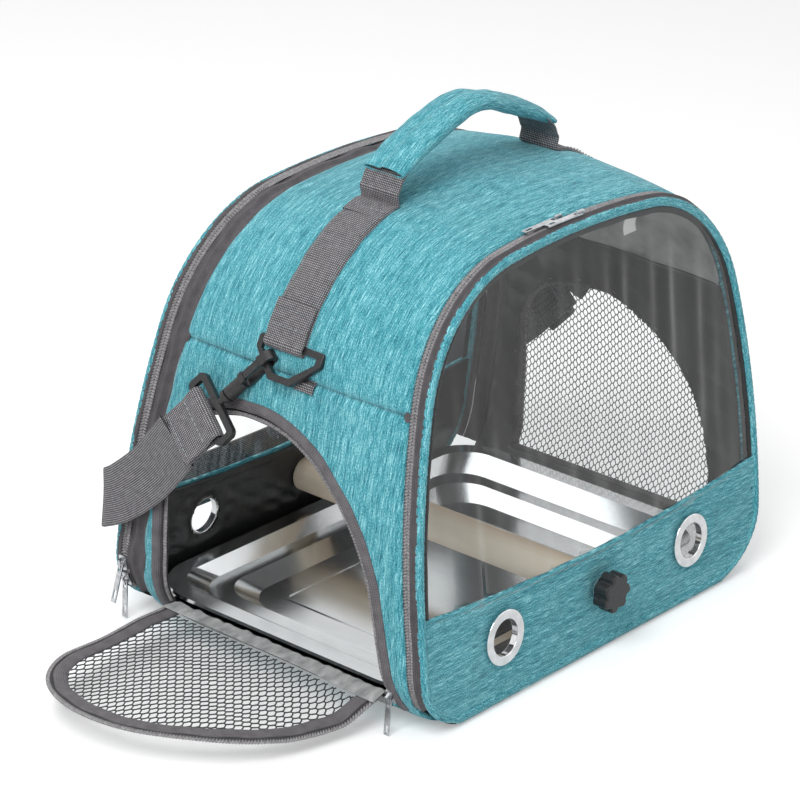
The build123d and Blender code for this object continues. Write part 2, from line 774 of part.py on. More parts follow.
# ---------------------------------------------------------------- strap rings on the side walls
# Each ring is a moulded three-cornered loop that hangs from the webbing, held down by a sewn tab

def ring_outline(inset):
    """Three-cornered loop with cut top corners: Y across, downwards positive."""
    half = ring_half - inset
    with BuildSketch() as shape:
        with BuildLine():
            Polyline(
                (-half, inset), (half, inset), (half, ring_shoulder), (ring_toe - inset / 2, ring_drop - inset),
                (inset / 2 - ring_toe, ring_drop - inset), (-half, ring_shoulder), close=True,
            )
        make_face()
        fillet(shape.vertices(), ring_bar / 2 - inset / 4)
    return shape.sketch


for side in ("left", "right"):
    with BuildPart() as ring:
        with BuildSketch(ring_plane):
            add(ring_outline(0))
            add(ring_outline(ring_bar), mode=Mode.SUBTRACT)
        extrude(amount=ring_bar)
        fillet(ring.faces().sort_by(Axis.X)[0].edges(), 0.8)
        if side == "right":
            mirror(about=Plane.YZ, mode=Mode.REPLACE)
    finish(ring.part, f"{side}_ring", dark)

# ---------------------------------------------------------------- snap hooks
# The hook's loop holds the slanting lower bar of the ring and swivels on the strap eye's stem
bar_mid = ring_plane.from_local_coords(
    Vector((ring_half + ring_toe - ring_bar) / 2, (ring_shoulder + ring_drop - ring_bar) / 2, ring_bar / 2)
)
eye_centre = Vector(-half_width, 0, ring_top) + Vector(*eye_place)
hook_way = (eye_centre - bar_mid).normalized()
hook_normal = (ring_normal - hook_way * ring_normal.dot(hook_way)).normalized()
eye_way = hook_normal.cross(hook_way).normalized()
eye_u = (eye_centre - bar_mid).length
loop_plane = Plane(bar_mid, x_dir=hook_way, z_dir=eye_way)
loop_length = hook_reach + hook_throat
for side in ("left", "right"):
    # Loop and swivel barrel in one moulding
    with BuildPart() as hook:
        with BuildSketch(loop_plane):
            with Locations((hook_throat - loop_length / 2, 0)):
                SlotOverall(loop_length + 2 * hook_wire, hook_inner + 2 * hook_wire)
                SlotOverall(loop_length, hook_inner, mode=Mode.SUBTRACT)
            with Locations((gate_start, -hook_inner / 2 - hook_wire / 2)):
                Rectangle(
                    gate_length, 2 * hook_wire, align=(Align.MIN, Align.CENTER), mode=Mode.SUBTRACT
                )
        extrude(amount=hook_width / 2, both=True)
        barrel_plane = Plane(bar_mid + hook_way * barrel_end, x_dir=hook_normal, z_dir=hook_way)
        with BuildSketch(barrel_plane):
            Circle(barrel_diameter / 2)
        extrude(amount=hook_throat - barrel_end)
        with BuildSketch(barrel_plane):
            Circle(stem_diameter / 2 + shaft_gap)
        extrude(amount=hook_throat + 2 * hook_wire - barrel_end, mode=Mode.SUBTRACT)
        if side == "right":
            mirror(about=Plane.YZ, mode=Mode.REPLACE)
    finish(hook.part, f"{side}_hook", dark)

    # Spring gate that closes the loop's mouth
    with BuildPart() as gate:
        with BuildSketch(loop_plane):
            with Locations((gate_start + layer_gap, -hook_inner / 2 - hook_wire / 2)):
                Rectangle(
                    gate_length - 2 * layer_gap, gate_thickness, align=(Align.MIN, Align.CENTER)
                )
        extrude(amount=hook_width / 2 - 1, both=True)
        if side == "right":
            mirror(about=Plane.YZ, mode=Mode.REPLACE)
    finish(gate.part, f"{side}_gate", dark)

    # Rectangular eye with the stem that the barrel turns on
    with BuildPart() as eye:
        with BuildSketch(Plane(eye_centre, x_dir=hook_way, z_dir=hook_normal)):
            RectangleRounded(eye_short, eye_long, eye_wire)
            RectangleRounded(
                eye_short - 2 * eye_wire, eye_long - 2 * eye_wire, eye_wire / 3, mode=Mode.SUBTRACT
            )
        extrude(amount=eye_depth / 2, both=True)
        stem_end = hook_throat + 2 * hook_wire + 1
        with BuildSketch(Plane(bar_mid + hook_way * stem_end, x_dir=hook_normal, z_dir=hook_way)):
            Circle(stem_diameter / 2)
        extrude(amount=eye_u - eye_short / 2 + 1 - stem_end)
        with BuildSketch(Plane(bar_mid + hook_way * (barrel_end + 1), x_dir=hook_normal, z_dir=hook_way)):
            Circle(barrel_diameter / 2)
        extrude(amount=3)
        if side == "right":
            mirror(about=Plane.YZ, mode=Mode.REPLACE)
    finish(eye.part, f"{side}_eye", dark)

# ---------------------------------------------------------------- shoulder strap
for side in ("left", "right"):
    # Sewn tab that holds the ring's lower end to the wall seam
    with BuildPart() as tab:
        with BuildSketch(Plane.XZ.offset(tab_start)):
            with BuildLine():
                tab_low = seam_height - tab_reach
                hold = ring_plane.from_local_coords(Vector(0, ring_drop - ring_bar - 2, -1.2))
                low = -side_x(tab_low, -tab_thickness / 2) - 0.1
                mid = -side_x(seam_height - 2, -tab_thickness / 2) - 0.1
                FilletPolyline((low, tab_low), (mid, seam_height - 2), (hold.X, hold.Z), radius=2)
            trace(line_width=tab_thickness)
        extrude(amount=tab_width)
        if side == "right":
            mirror(about=Plane.YZ, mode=Mode.REPLACE)
    finish(tab.part, f"{side}_ring_tab", grey)

far_bar = eye_short / 2 - eye_wire / 2
skin = eye_depth / 2 + layer_gap + strap / 2
fold_side = strap / 2 + 0.1
bar_back = far_bar - eye_wire / 2 - layer_gap - strap / 2


def folded_end():
    """Webbing folded round the far bar of the left eye and stitched to itself."""
    with BuildPart() as fold:
        with BuildSketch(Plane(eye_centre, x_dir=hook_way, z_dir=eye_way)):
            with BuildLine():
                FilletPolyline(
                    (fold_length, -fold_side), (far_bar + 9, -fold_side), (far_bar + 4, -skin),
                    (bar_back, -skin), (bar_back, skin),
                    (far_bar + 4, skin), (far_bar + 9, fold_side), (fold_length, fold_side),
                    radius=1.6,
                )
            trace(line_width=strap)
        extrude(amount=strap_width / 2, both=True)
    return fold.part


strap_start = eye_centre + hook_way * fold_length
back_corner = Vector(-half_width, half_depth)
left_route = [(back_corner + Vector(*place), facing) for place, facing in strap_route]
right_route = [(Vector(-place.X, place.Y, place.Z), 180 - facing) for place, facing in left_route]
right_start = Vector(-strap_start.X, strap_start.Y, strap_start.Z)
route = [(strap_start, 180), *left_route, (Vector(0, half_depth + strap_clear, strap_back_height), 90)]
route += [*reversed(right_route), (right_start, 0)]
mirrored_way = Vector(eye_way.X, -eye_way.Y, -eye_way.Z)
right_hook_way = Vector(hook_way.X, -hook_way.Y, -hook_way.Z)
with BuildPart() as shoulder_strap:
    for index, (place, facing) in enumerate(route):
        before, after = route[max(index - 1, 0)][0], route[min(index + 1, len(route) - 1)][0]
        run = (after - before).normalized()
        if index < 2:
            across = eye_way
            run = run if index else hook_way
        elif index > len(route) - 3:
            across = mirrored_way
            run = run if index < len(route) - 1 else right_hook_way
        else:
            across = Vector(cos(radians(facing)), sin(radians(facing)), 0).cross(run)
        section = Plane(place, x_dir=across, z_dir=run)
        with BuildSketch(section):
            Rectangle(strap_width, strap)
    loft(ruled=True)
    add(folded_end())
    mirror(folded_end(), about=Plane.YZ)
finish(shoulder_strap.part, "shoulder_strap", grey)

# Plastic adjuster on the right run: a flat sleeve that slides along the webbing
right_way = (right_route[0][0] - right_start).normalized()
adjuster_plane = Plane(right_start + right_way * adjuster_start, x_dir=mirrored_way, z_dir=right_way)
with BuildPart() as adjuster:
    with BuildSketch(adjuster_plane):
        RectangleRounded(strap_width + 2 * adjuster_wall + 1, strap + 2 * adjuster_wall, 2.5)
        Rectangle(strap_width + 1, strap + 1.6, mode=Mode.SUBTRACT)
    extrude(amount=adjuster_length)
finish(adjuster.part, "strap_adjuster", dark)

# ---------------------------------------------------------------- zip sliders and pulls
# Each slider stands on a plane whose X runs along the teeth towards its pull and whose Z points
# away from the cabin.  The pull hinges on a bar under the slider's bridge.
def roof_slider_plane(x):
    """Over the front zip at x from the middle, on the crown arc."""
    swing = asin(x / crown_radius)
    reach = crown_radius - piping_inset + slider_gap
    place = (reach * sin(swing), 0, bag_height - crown_radius + reach * cos(swing))
    y = front_zip_depth - panel_y(place[2])
    return Plane((place[0], y, place[2]), x_dir=(-cos(swing), 0, sin(swing)), z_dir=(sin(swing), 0, cos(swing)))


def foot_slider_plane(angle, y, inset):
    """Over a zip at the left foot curve, angle degrees below its widest point."""
    swing = radians(angle)
    reach = foot_radius - inset + slider_gap
    place = (-floor_half - reach * cos(swing), y, foot_radius - reach * sin(swing))
    return Plane(place, x_dir=(sin(swing), 0, -cos(swing)), z_dir=(-cos(swing), 0, -sin(swing)))


back_zip_y = half_depth - front_zip_depth
door_zip_y = door_outline(-door_slider_offset).vertices().sort_by(Axis.X)[0].X
sliders = {
    "front_left": (roof_slider_plane(-14.5), -pull_side, pull_length, 0),
    "front_right": (roof_slider_plane(3.0), pull_side, pull_length, 0),
    "back_upper": (foot_slider_plane(8.0, back_zip_y, piping_inset), 0, short_pull, back_pull_swing),
    "back_lower": (foot_slider_plane(24.0, back_zip_y, piping_inset), 0, short_pull, back_pull_swing),
    "door": (foot_slider_plane(27.0, door_zip_y, 0), 0, short_pull, door_pull_swing),
}
for name, (plane, shift, length, swing) in sliders.items():
    with BuildPart() as slider:
        with BuildSketch(plane):
            RectangleRounded(slider_length, 2 * slider_half_width, 1.5)
        extrude(amount=slider_plate)
        bridge_side = Plane(plane.from_local_coords(Vector(0, shift, 0)), x_dir=plane.x_dir, z_dir=plane.y_dir)
        with BuildSketch(bridge_side):
            top = -(pull_level + pull_thickness + 2 * layer_gap + 1)
            with BuildLine():
                Polyline((-bridge_half_length, 0), (-bridge_half_length + 1, top), (bridge_half_length - 1, top),
                         (bridge_half_length, 0), close=True)
            make_face()
            with Locations((0, -slider_plate)):
                Rectangle(2 * bridge_half_length - 4, -1 - top - slider_plate,
                          align=(Align.CENTER, Align.MAX), mode=Mode.SUBTRACT)
        extrude(amount=bridge_width / 2, both=True)
    finish(slider.part, f"{name}_slider", steel)

    pivot = plane.from_local_coords(Vector(0, shift, pull_level + pull_thickness / 2))
    lie = Plane(pivot, x_dir=plane.x_dir, z_dir=plane.z_dir).rotated((0, swing, 0))
    with BuildPart() as pull:
        with BuildSketch(lie):
            with Locations((-0.6, 0)):
                Rectangle(length, pull_width, align=(Align.MIN, Align.CENTER))
            with Locations((0.6, 0)):
                Rectangle(bridge_half_length + 1.2, pull_loop, align=(Align.MIN, Align.CENTER), mode=Mode.SUBTRACT)
            with Locations((length - 3.4, 0)):
                Rectangle(6, pull_width - 2.2, align=(Align.MAX, Align.CENTER), mode=Mode.SUBTRACT)
        extrude(amount=pull_thickness / 2, both=True)
    finish(pull.part, f"{name}_pull", steel)
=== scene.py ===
"""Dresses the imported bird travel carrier: cloth, net, clear film, zips, webbing, metal and wood.

Metres, +Z up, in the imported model's own frame: the window panels face -Y and +Y and the door wall
faces -X.  The file follows the carrier as it is sewn and put together.
"""
import math

import bmesh
import bpy
import numpy as np
from mathutils import Matrix, Vector


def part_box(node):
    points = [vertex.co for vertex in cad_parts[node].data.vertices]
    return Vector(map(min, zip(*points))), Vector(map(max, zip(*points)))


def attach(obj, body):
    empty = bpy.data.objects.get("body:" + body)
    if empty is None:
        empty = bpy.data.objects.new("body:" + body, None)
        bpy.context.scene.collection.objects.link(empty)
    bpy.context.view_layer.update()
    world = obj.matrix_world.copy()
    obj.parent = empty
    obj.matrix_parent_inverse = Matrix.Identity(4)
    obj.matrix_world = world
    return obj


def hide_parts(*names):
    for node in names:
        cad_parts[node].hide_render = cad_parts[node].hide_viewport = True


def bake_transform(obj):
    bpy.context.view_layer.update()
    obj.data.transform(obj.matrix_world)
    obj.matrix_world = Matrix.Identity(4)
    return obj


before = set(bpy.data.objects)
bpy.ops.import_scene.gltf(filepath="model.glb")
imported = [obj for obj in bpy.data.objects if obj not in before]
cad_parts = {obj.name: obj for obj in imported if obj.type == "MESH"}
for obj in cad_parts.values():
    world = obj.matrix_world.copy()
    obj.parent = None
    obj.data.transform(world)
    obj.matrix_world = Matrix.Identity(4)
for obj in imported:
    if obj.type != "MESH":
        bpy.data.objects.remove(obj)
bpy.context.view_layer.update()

# ---------------- Cabin shell
# One band of foam-backed melange cloth bent into an arch: two side walls and a roof, sewn together
# along a seam on each side.  The cloth is woven from light and dark teal yarns, run up and over.
ceiling_inset = 0.0055  # the ceiling hangs this far inside the cloth's outer face
half_width = -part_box("left_wall")[0].x
crown_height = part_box("cabin_lining")[1].z + ceiling_inset
half_depth = -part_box("front_piping")[0].y
foot_radius, upright_top, side_radius = 0.049, 0.073, 0.554
crown_radius, shoulder_radius = 0.684, 0.108
lean_start, lean_radius, lean_angle = 0.025, 0.325, math.radians(7.1)
front_edge, back_edge = 0.0136, 0.027  # cloth starts this far behind each panel's face
cloth_thickness, cloth_depth = 0.0034, 0.24  # the depth is front to back, to count cells by
arc_points = 300


def places(*columns):
    """Joins arrays that broadcast together into one array of points."""
    return np.stack(np.broadcast_arrays(*columns), axis=-1)


def lengths(line):
    """Length along a line of points, from the first of them to each."""
    return np.concatenate([[0], np.cumsum(np.linalg.norm(np.diff(line, axis=0), axis=1))])


def outline_table():
    """The cabin's end outline from the crown down to the middle of the ground, as lengths, x, z and
    the outward angle: a flat crown arc, a shoulder arc, a leaning side arc, an upright and a foot arc.
    The shoulder's centre lies where circles of (side - shoulder) and (crown - shoulder) radius about
    the other two centres cross, so that the three arcs touch."""
    side_centre = np.array([half_width - side_radius, upright_top])
    crown_centre = np.array([0, crown_height - crown_radius])
    foot_centre = np.array([half_width - foot_radius, foot_radius])
    apart = crown_centre - side_centre
    distance = np.hypot(*apart)
    from_side, from_crown = side_radius - shoulder_radius, crown_radius - shoulder_radius
    along = (from_side**2 - from_crown**2 + distance**2) / (2 * distance)
    across = np.array([-apart[1], apart[0]]) / distance * math.sqrt(from_side**2 - along**2)
    shoulder_centre = side_centre + apart / distance * along + across
    crown_turn, side_turn = (
        math.atan2(*(shoulder_centre - centre)[::-1]) for centre in (crown_centre, side_centre)
    )
    limits = np.array([math.pi / 2, crown_turn, side_turn, 0, -math.pi / 2])
    turn = np.linspace(limits[:-1], limits[1:], arc_points, axis=1)
    centre = np.array([crown_centre, shoulder_centre, side_centre, foot_centre])
    radius = np.array([[crown_radius], [shoulder_radius], [side_radius], [foot_radius]])
    x = np.append(centre[:, :1] + radius * np.cos(turn), 0)
    z = np.append(centre[:, 1:] + radius * np.sin(turn), 0)
    return lengths(places(x, z)), x, z, np.append(turn, -math.pi / 2)


outline = outline_table()


def arch(run):
    """Place on the cabin's outline by the length along it from the crown, negative on the left:
    x, z, and the outward direction's x and z."""
    x, z, turn = (np.interp(np.abs(run), outline[0], column) for column in outline[1:])
    side = np.where(run < 0, -1.0, 1.0)
    return side * x, z, side * np.cos(turn), np.sin(turn)


def run_down_to(z):
    """Length along the outline from the crown down to height z."""
    return np.interp(-np.asarray(z), -outline[2][:-1], outline[0][:-1])


def end_depth(z):
    """Distance of an end panel's face from the middle at height z: upright at the foot, then an arc,
    then a steady inward lean."""
    rise = lean_radius * math.sin(lean_angle)
    bend = np.clip(z - lean_start, 0, rise)
    beyond = np.maximum(z - lean_start - rise, 0)
    return half_depth - lean_radius + np.sqrt(lean_radius**2 - bend**2) - beyond * math.tan(lean_angle)


def ripple(a, b, size, seed):
    """Soft uneven relief from about -1 to 1 over two lengths: a third of the sum of six sine waves
    of about that size, turned and shifted by a seeded draw."""
    draw = np.random.default_rng(seed)
    total = np.zeros(np.broadcast(a, b).shape)
    for _ in range(6):
        turn, shift = draw.uniform(0, math.pi), draw.uniform(0, 2 * math.pi)
        pitch = 2 * math.pi / (size * draw.uniform(0.7, 1.6))
        total += np.sin(pitch * (a * math.cos(turn) + b * math.sin(turn)) + shift)
    return total / 3


def near(distance, width):
    """1 at a line and 0 beyond width from it, falling smoothly between."""
    t = np.clip(1 - np.abs(distance) / width, 0, 1)
    return t * t * (3 - 2 * t)


def add_mesh(name, points, faces):
    """Adds an object made of points and faces."""
    mesh = bpy.data.meshes.new(name)
    mesh.from_pydata(points, [], faces)
    piece = bpy.data.objects.new(name, mesh)
    bpy.context.scene.collection.objects.link(piece)
    return piece


def lay(name, grid, cloth_map, keep=None, away_from=(0, 0, 0.14)):
    """Mesh from a grid of points, one four-sided face for each cell that is kept, facing away from a
    point.  cloth_map holds each point's two lengths on the flat cloth and becomes the UV map."""
    rows, columns = grid.shape[:2]
    first = np.arange(rows * columns).reshape(rows, columns)[:-1, :-1]
    first = first.ravel() if keep is None else first[keep]
    faces = np.stack([first, first + columns, first + columns + 1, first + 1], axis=-1)
    corners = grid.reshape(-1, 3)[faces]
    facing = np.cross(corners[:, 2] - corners[:, 0], corners[:, 3] - corners[:, 1])
    if np.sum(facing * (corners.mean(axis=1) - np.array(away_from))) < 0:
        faces = faces[:, ::-1]
    piece = add_mesh(name, grid.reshape(-1, 3), faces)
    flat = piece.data.uv_layers.new(name="cloth")
    flat.data.foreach_set("uv", cloth_map.reshape(-1, 2)[faces.ravel()].astype(np.float32).ravel())
    piece.data.shade_smooth()
    return piece


def thicken(piece, thickness):
    """Gives a laid sheet its thickness, inwards from the laid face."""
    piece.modifiers.new("thickness", "SOLIDIFY").thickness = thickness
    return piece


def dress(piece, body, material, slot, *nodes):
    """Gives a piece its material and its body, and hides the nodes it stands for; slot is not used."""
    piece.data.materials.append(material)
    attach(piece, body)
    if nodes:
        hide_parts(*nodes)
    return piece


def fill(material, node, **inputs):
    """Fills a node's inputs and settings: a socket is linked, anything else is set.  _ stands for a
    space and i0 for the first input."""
    for name, value in inputs.items():
        if name in node.bl_rna.properties:
            setattr(node, name, value)
            continue
        socket = node.inputs[int(name[1:]) if name[1:].isdigit() else name.replace("_", " ")]
        if isinstance(value, bpy.types.NodeSocket):
            material.node_tree.links.new(value, socket)
        else:
            socket.default_value = value
    return node


def shader_node(material, kind, **inputs):
    """Adds a node with the given inputs."""
    return fill(material, material.node_tree.nodes.new("ShaderNode" + kind), **inputs)


def surface(material, **inputs):
    """Fills the inputs of a material's surface shader."""
    return fill(material, material.node_tree.nodes["Principled BSDF"], **inputs)


def start_material(name, **inputs):
    """A new material with the given inputs on its surface shader."""
    material = bpy.data.materials.new(name)
    material.use_nodes = True
    surface(material, **inputs)
    return material


def maths(material, operation, *values):
    """Result of a sum on values and outputs."""
    inputs = {f"i{place}": value for place, value in enumerate(values)}
    return shader_node(material, "Math", operation=operation, **inputs).outputs[0]


def pattern(material, kind, *scale, source="UV", **inputs):
    """Value of a texture, read at the piece's UV map or its Object coordinates times a scale."""
    place = shader_node(material, "TexCoord").outputs[source]
    scaled = shader_node(material, "Mapping", Vector=place, Scale=scale).outputs["Vector"]
    return shader_node(material, "Tex" + kind, Vector=scaled, Scale=1.0, **inputs).outputs["Fac"]


def colours(material, value, *stops):
    """Colour ramp through (place, colour) stops, read by a value."""
    ramp = shader_node(material, "ValToRGB", Fac=value)
    for place, colour in stops[2:]:
        ramp.color_ramp.elements.new(place)
    for element, (place, colour) in zip(ramp.color_ramp.elements, sorted(stops)):
        element.position, element.color = place, (*colour, 1)
    return ramp.outputs["Color"]


def relief(material, height, strength, distance):
    """The surface's direction when a height stands in relief on it."""
    bump = shader_node(material, "Bump", Strength=strength, Distance=distance, Height=height)
    return bump.outputs["Normal"]


def finish(material, tone, stops, height, *depth):
    """Colours a surface by a tone through stops, and gives it relief by a height."""
    shade, direction = colours(material, tone, *stops), relief(material, height, *depth)
    return surface(material, Base_Color=shade, Normal=direction)


# long fine streaks of light and dark yarn over broad soft patches, with a plain weave in relief
teal = start_material(
    "teal_melange", Roughness=0.86, Specular_IOR_Level=0.22, Sheen_Weight=0.18, Sheen_Roughness=0.6
)
yarn = (110.0, 2500.0, 1)  # streaks to a metre along the map's first length and across it
mix = pattern(teal, "Noise", *yarn, Detail=3.0)
for coarseness, share in ((0.4, 0.25), (0.1, 0.28)):
    streak = pattern(teal, "Noise", *(per_metre * coarseness for per_metre in yarn))
    mix = maths(teal, "MULTIPLY_ADD", streak, share, mix)
mix = maths(teal, "MULTIPLY_ADD", pattern(teal, "Noise", 900, 900, 1, Detail=2.0), 0.5, mix)
mix = maths(teal, "DIVIDE", mix, 2.05)
weave = maths(teal, "MULTIPLY_ADD", pattern(teal, "Checker", 1500, 1500, 1), 0.35, mix)
stops = ((0.39, (0.008, 0.12, 0.17)), (0.61, (0.38, 0.78, 0.84)), (0.5, (0.062, 0.36, 0.43)))
finish(teal, mix, stops, weave, 0.3, 0.0005)

seam_run = run_down_to(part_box("roof")[0].z)
bottom_run = run_down_to(0.0005) - 0.001
dome_rise, wall_rise, seam_dip, zip_dip, dip_width = 0.0085, 0.0025, 0.0022, 0.0016, 0.004


def shell_edges(z):
    """The y of the cloth's front edge and of its back edge at height z."""
    return front_edge - end_depth(z), end_depth(z) - back_edge


def shell(run, across, lift=0.0):
    """Place on the outer cloth, across going from 0 at the front zip to 1 at the back zip.  The cloth
    domes between its zips, more over the roof, dips to each seam, and ripples a little."""
    x, z, out_x, out_z = arch(run)
    front, back = shell_edges(z)
    depth = back - front
    y = front + depth * across
    edge = 1 - (2 * across - 1) ** 2
    roof_share = np.clip(1.25 - np.abs(run) / seam_run, 0, 1)
    rise = edge * (wall_rise + (dome_rise - wall_rise) * roof_share)
    rise += edge * 0.0007 * ripple(run, y, 0.07, 3) + edge * 0.0004 * ripple(run * 2, y, 0.03, 4)
    rise -= seam_dip * near(np.abs(run) - seam_run, dip_width)
    rise -= zip_dip * (near(across * depth, dip_width) + near((1 - across) * depth, dip_width))
    rise = rise * np.clip(z / 0.02, 0, 1) + lift
    return places(x + out_x * rise, y, z + out_z * rise)


def on_shell(run, y, lift=0.0):
    """Place on the outer cloth by the length along the outline and y."""
    front, back = shell_edges(arch(run)[1])
    return shell(run, (y - front) / (back - front), lift)


def shell_sheet(run_from, run_to, lift=0.0, step=0.0022):
    """Grid of the shell between two lengths of the outline, in cells of about a step, and its map."""
    run = np.linspace(run_from, run_to, int(abs(run_to - run_from) / step) + 1)[:, None]
    grid = shell(run, np.linspace(0, 1, int(cloth_depth / step))[None, :], lift)
    return grid, places(run, grid[..., 1])


roof = thicken(lay("roof_cloth", *shell_sheet(-seam_run, seam_run)), cloth_thickness)
dress(roof, "bag", teal, "teal_fabric", "roof")

# ---------------- Side walls
# Each wall is one sheet of the same cloth from the seam down round the foot to the flat bottom.  The
# left one is cut out for the arched door, the right one for a net window.
door_back, door_sill, door_upright = 0.0855, 0.022, 0.098
door_arcs = ((0.053, 68.5), (0.095, 49.5), (0.122, 49.0))  # radius and degrees, from the back


def door_table():
    """The door opening from its front foot over the top to its back foot: lengths, y, z and the angle
    of the way along.  From the back it is an upright, three arcs, each point being the arc's start
    plus its radius times the change of (sine, -cosine) of the heading, and a straight slope."""
    heading = math.pi / 2
    points, headings = [(door_back, door_sill)], [heading]
    start = np.array([door_back, door_sill + door_upright])
    for radius, degrees in door_arcs:
        bend = np.linspace(heading, heading + math.radians(degrees), 50)
        swing = places(np.sin(bend), -np.cos(bend))
        points.extend(start + radius * (swing - swing[0]))
        headings.extend(bend)
        start, heading = points[-1], bend[-1]
    slope = (door_sill - start[1]) / math.sin(heading)
    points.append(start + slope * np.array([math.cos(heading), math.sin(heading)]))
    headings.append(heading)
    line = np.array(points)[::-1]
    return lengths(line), line[:, 0], line[:, 1], np.array(headings)[::-1]


door_edge = door_table()
door_round = door_edge[0][-1]


def doorway(along, inset=0.0):
    """Place on the opening's edge by the length along it, drawn in towards the middle by inset.  Past
    either foot the edge runs straight on."""
    y, z, heading = (np.interp(along, door_edge[0], column) for column in door_edge[1:])
    past = np.clip(along, None, 0) + np.maximum(along - door_round, 0)
    way_y, way_z = np.cos(heading), np.sin(heading)
    return y - past * way_y - inset * way_z, z - past * way_z + inset * way_y


def inside_door(y, z):
    """How far a point lies inside the opening: the least distance to the lines that its edge follows,
    less than 0 outside."""
    y, z = np.asarray(y), np.asarray(z)
    steps = np.linspace(0, door_round, 90)
    edge_y, edge_z = doorway(steps)
    way = np.interp(steps, door_edge[0], door_edge[3])
    inwards = -(y[..., None] - edge_y) * np.sin(way) + (z[..., None] - edge_z) * np.cos(way)
    return np.minimum(inwards.min(axis=-1), z - door_sill)


def on_wall(side, y, z, lift=0.0):
    """Place on the outside of a side wall at y and height z: -1 is the left wall, 1 the right."""
    return on_shell(side * run_down_to(z), y, lift)


def wall_sheet(side, lift, cut):
    """Grid and map of a side wall, -1 on the left or 1 on the right, lifted off the shell, and the
    cells that are left once it is cut along a line that lies cut inside the opening's."""
    grid, flat = shell_sheet(side * seam_run, side * bottom_run, lift)
    middle = (grid[:-1, :-1] + grid[1:, 1:]) / 2
    return grid, flat, inside_door(middle[..., 1], middle[..., 2]) < cut


for side, label, cut in ((-1, "left", -0.0075), (1, "right", 0.003)):
    wall = thicken(lay(f"{label}_wall_cloth", *wall_sheet(side, 0.0, cut)), cloth_thickness)
    dress(wall, "bag", teal, "teal_fabric", f"{label}_wall")

# ---------------- Lining
# Black coated cloth inside the walls and the floor, with a soft shine; the ceiling is a thin grey
# coated cloth that hangs in loose creases.
lining_thickness = 0.0008


def textured(name, kind, scale, stops=(), bump=None, source="UV", detail=2.0, distortion=0.0, **inputs):
    """Material with one texture, which colours it through the stops and stands in relief by bump, a
    strength and a distance."""
    material = start_material(name, **inputs)
    value = pattern(material, kind, *scale, source=source, Detail=detail, Distortion=distortion)
    if stops:
        surface(material, Base_Color=colours(material, value, *stops))
    if bump:
        surface(material, Normal=relief(material, value, *bump))
    return material


lining_black = textured(
    "lining_black", "Noise", (60, 60, 1), bump=(0.5, 0.002), detail=4.0,
    Base_Color=(0.022, 0.023, 0.024, 1), Roughness=0.34, Specular_IOR_Level=0.5,
)
ceiling_grey = textured(
    "ceiling_grey", "Noise", (34, 34, 1), ((0.3, (0.16, 0.16, 0.16)), (0.75, (0.48, 0.48, 0.48))),
    (0.8, 0.004), detail=6.0, Roughness=0.42, Specular_IOR_Level=0.45,
)

grid, flat = shell_sheet(-seam_run, seam_run, -ceiling_inset, step=0.003)
overhead = np.clip(grid[..., 2] * 8 - 1.9, 0, 1)  # no creases below 0.24 m
grid[..., 2] -= 0.003 * np.abs(ripple(flat[..., 0], flat[..., 1], 0.05, 11)) * overhead
ceiling = thicken(lay("ceiling_lining", grid, flat), lining_thickness)
dress(ceiling, "bag", ceiling_grey, "lining", "cabin_lining")
for side, label, cut, cut_area in ((-1, "left", -0.0065, 0.0204), (1, "right", 0.004, 0.0277)):
    grid, flat, keep = wall_sheet(side, -0.0048, cut)
    grid[..., 0] -= side * 0.0012 * np.abs(ripple(flat[..., 0], flat[..., 1], 0.04, 12))
    lining = thicken(lay(f"{label}_lining", grid, flat, keep), lining_thickness)
    dress(lining, "bag", lining_black, "lining")

# ---------------- Bottom
# A flat board under black coated cloth, sewn between the walls' lower edges: the cloth below the
# board and the lining on it.
reach = np.linspace(-1, 1, 60)
x, y = reach[:, None] * (half_width - foot_radius + 0.002), reach[None, :] * (half_depth - 0.014)
for label, z, *roles in (("bottom_cloth", 0.0004, "base_fabric", "base"), ("floor_lining", 0.0052, "lining")):
    grid = places(x, y, z)
    sheet = thicken(lay(label, grid, grid[..., :2].copy(), away_from=(0, 0, 0.003)), 0.0009)
    dress(sheet, "bag", lining_black, *roles)

# ---------------- Panel piping
# A cord in a sleeve of the melange cloth, sewn round each window panel; its stitching draws the
# sleeve into small tucks.
ends = ((-1, "front"), (1, "back"))
piping_radius, piping_depth, piping_lift = 0.0031, 0.003, -0.0056
tuck_pitch, tuck_width, tuck_share = 0.0062, 0.0014, 0.1


def along_rim(end, run, depth, lift):
    """Place on an end panel's rim, -1 in front or 1 at the back: depth behind the panel's face, and
    lift outwards from the cabin's outline."""
    x, z, out_x, out_z = arch(run)
    return places(x + out_x * lift, end * (end_depth(z) - depth), z + out_z * lift)


def weld(piece):
    """Drops loose points, joins those that meet where a section closes, and turns faces outwards."""
    edit = bmesh.new()
    edit.from_mesh(piece.data)
    bmesh.ops.delete(edit, geom=[point for point in edit.verts if not point.link_faces], context="VERTS")
    bmesh.ops.remove_doubles(edit, verts=edit.verts, dist=1e-6)
    bmesh.ops.recalc_face_normals(edit, faces=edit.faces)
    edit.to_mesh(piece.data)
    edit.free()
    return piece


def swept(name, grid, run, closed=False):
    """Mesh of a section carried along a run: the map's second length is the way round the section."""
    girth = np.cumsum(np.linalg.norm(np.diff(grid, axis=1, prepend=grid[:, :1]), axis=2), axis=1)
    piece = lay(name, grid, places(run, girth))
    return weld(piece) if closed else piece


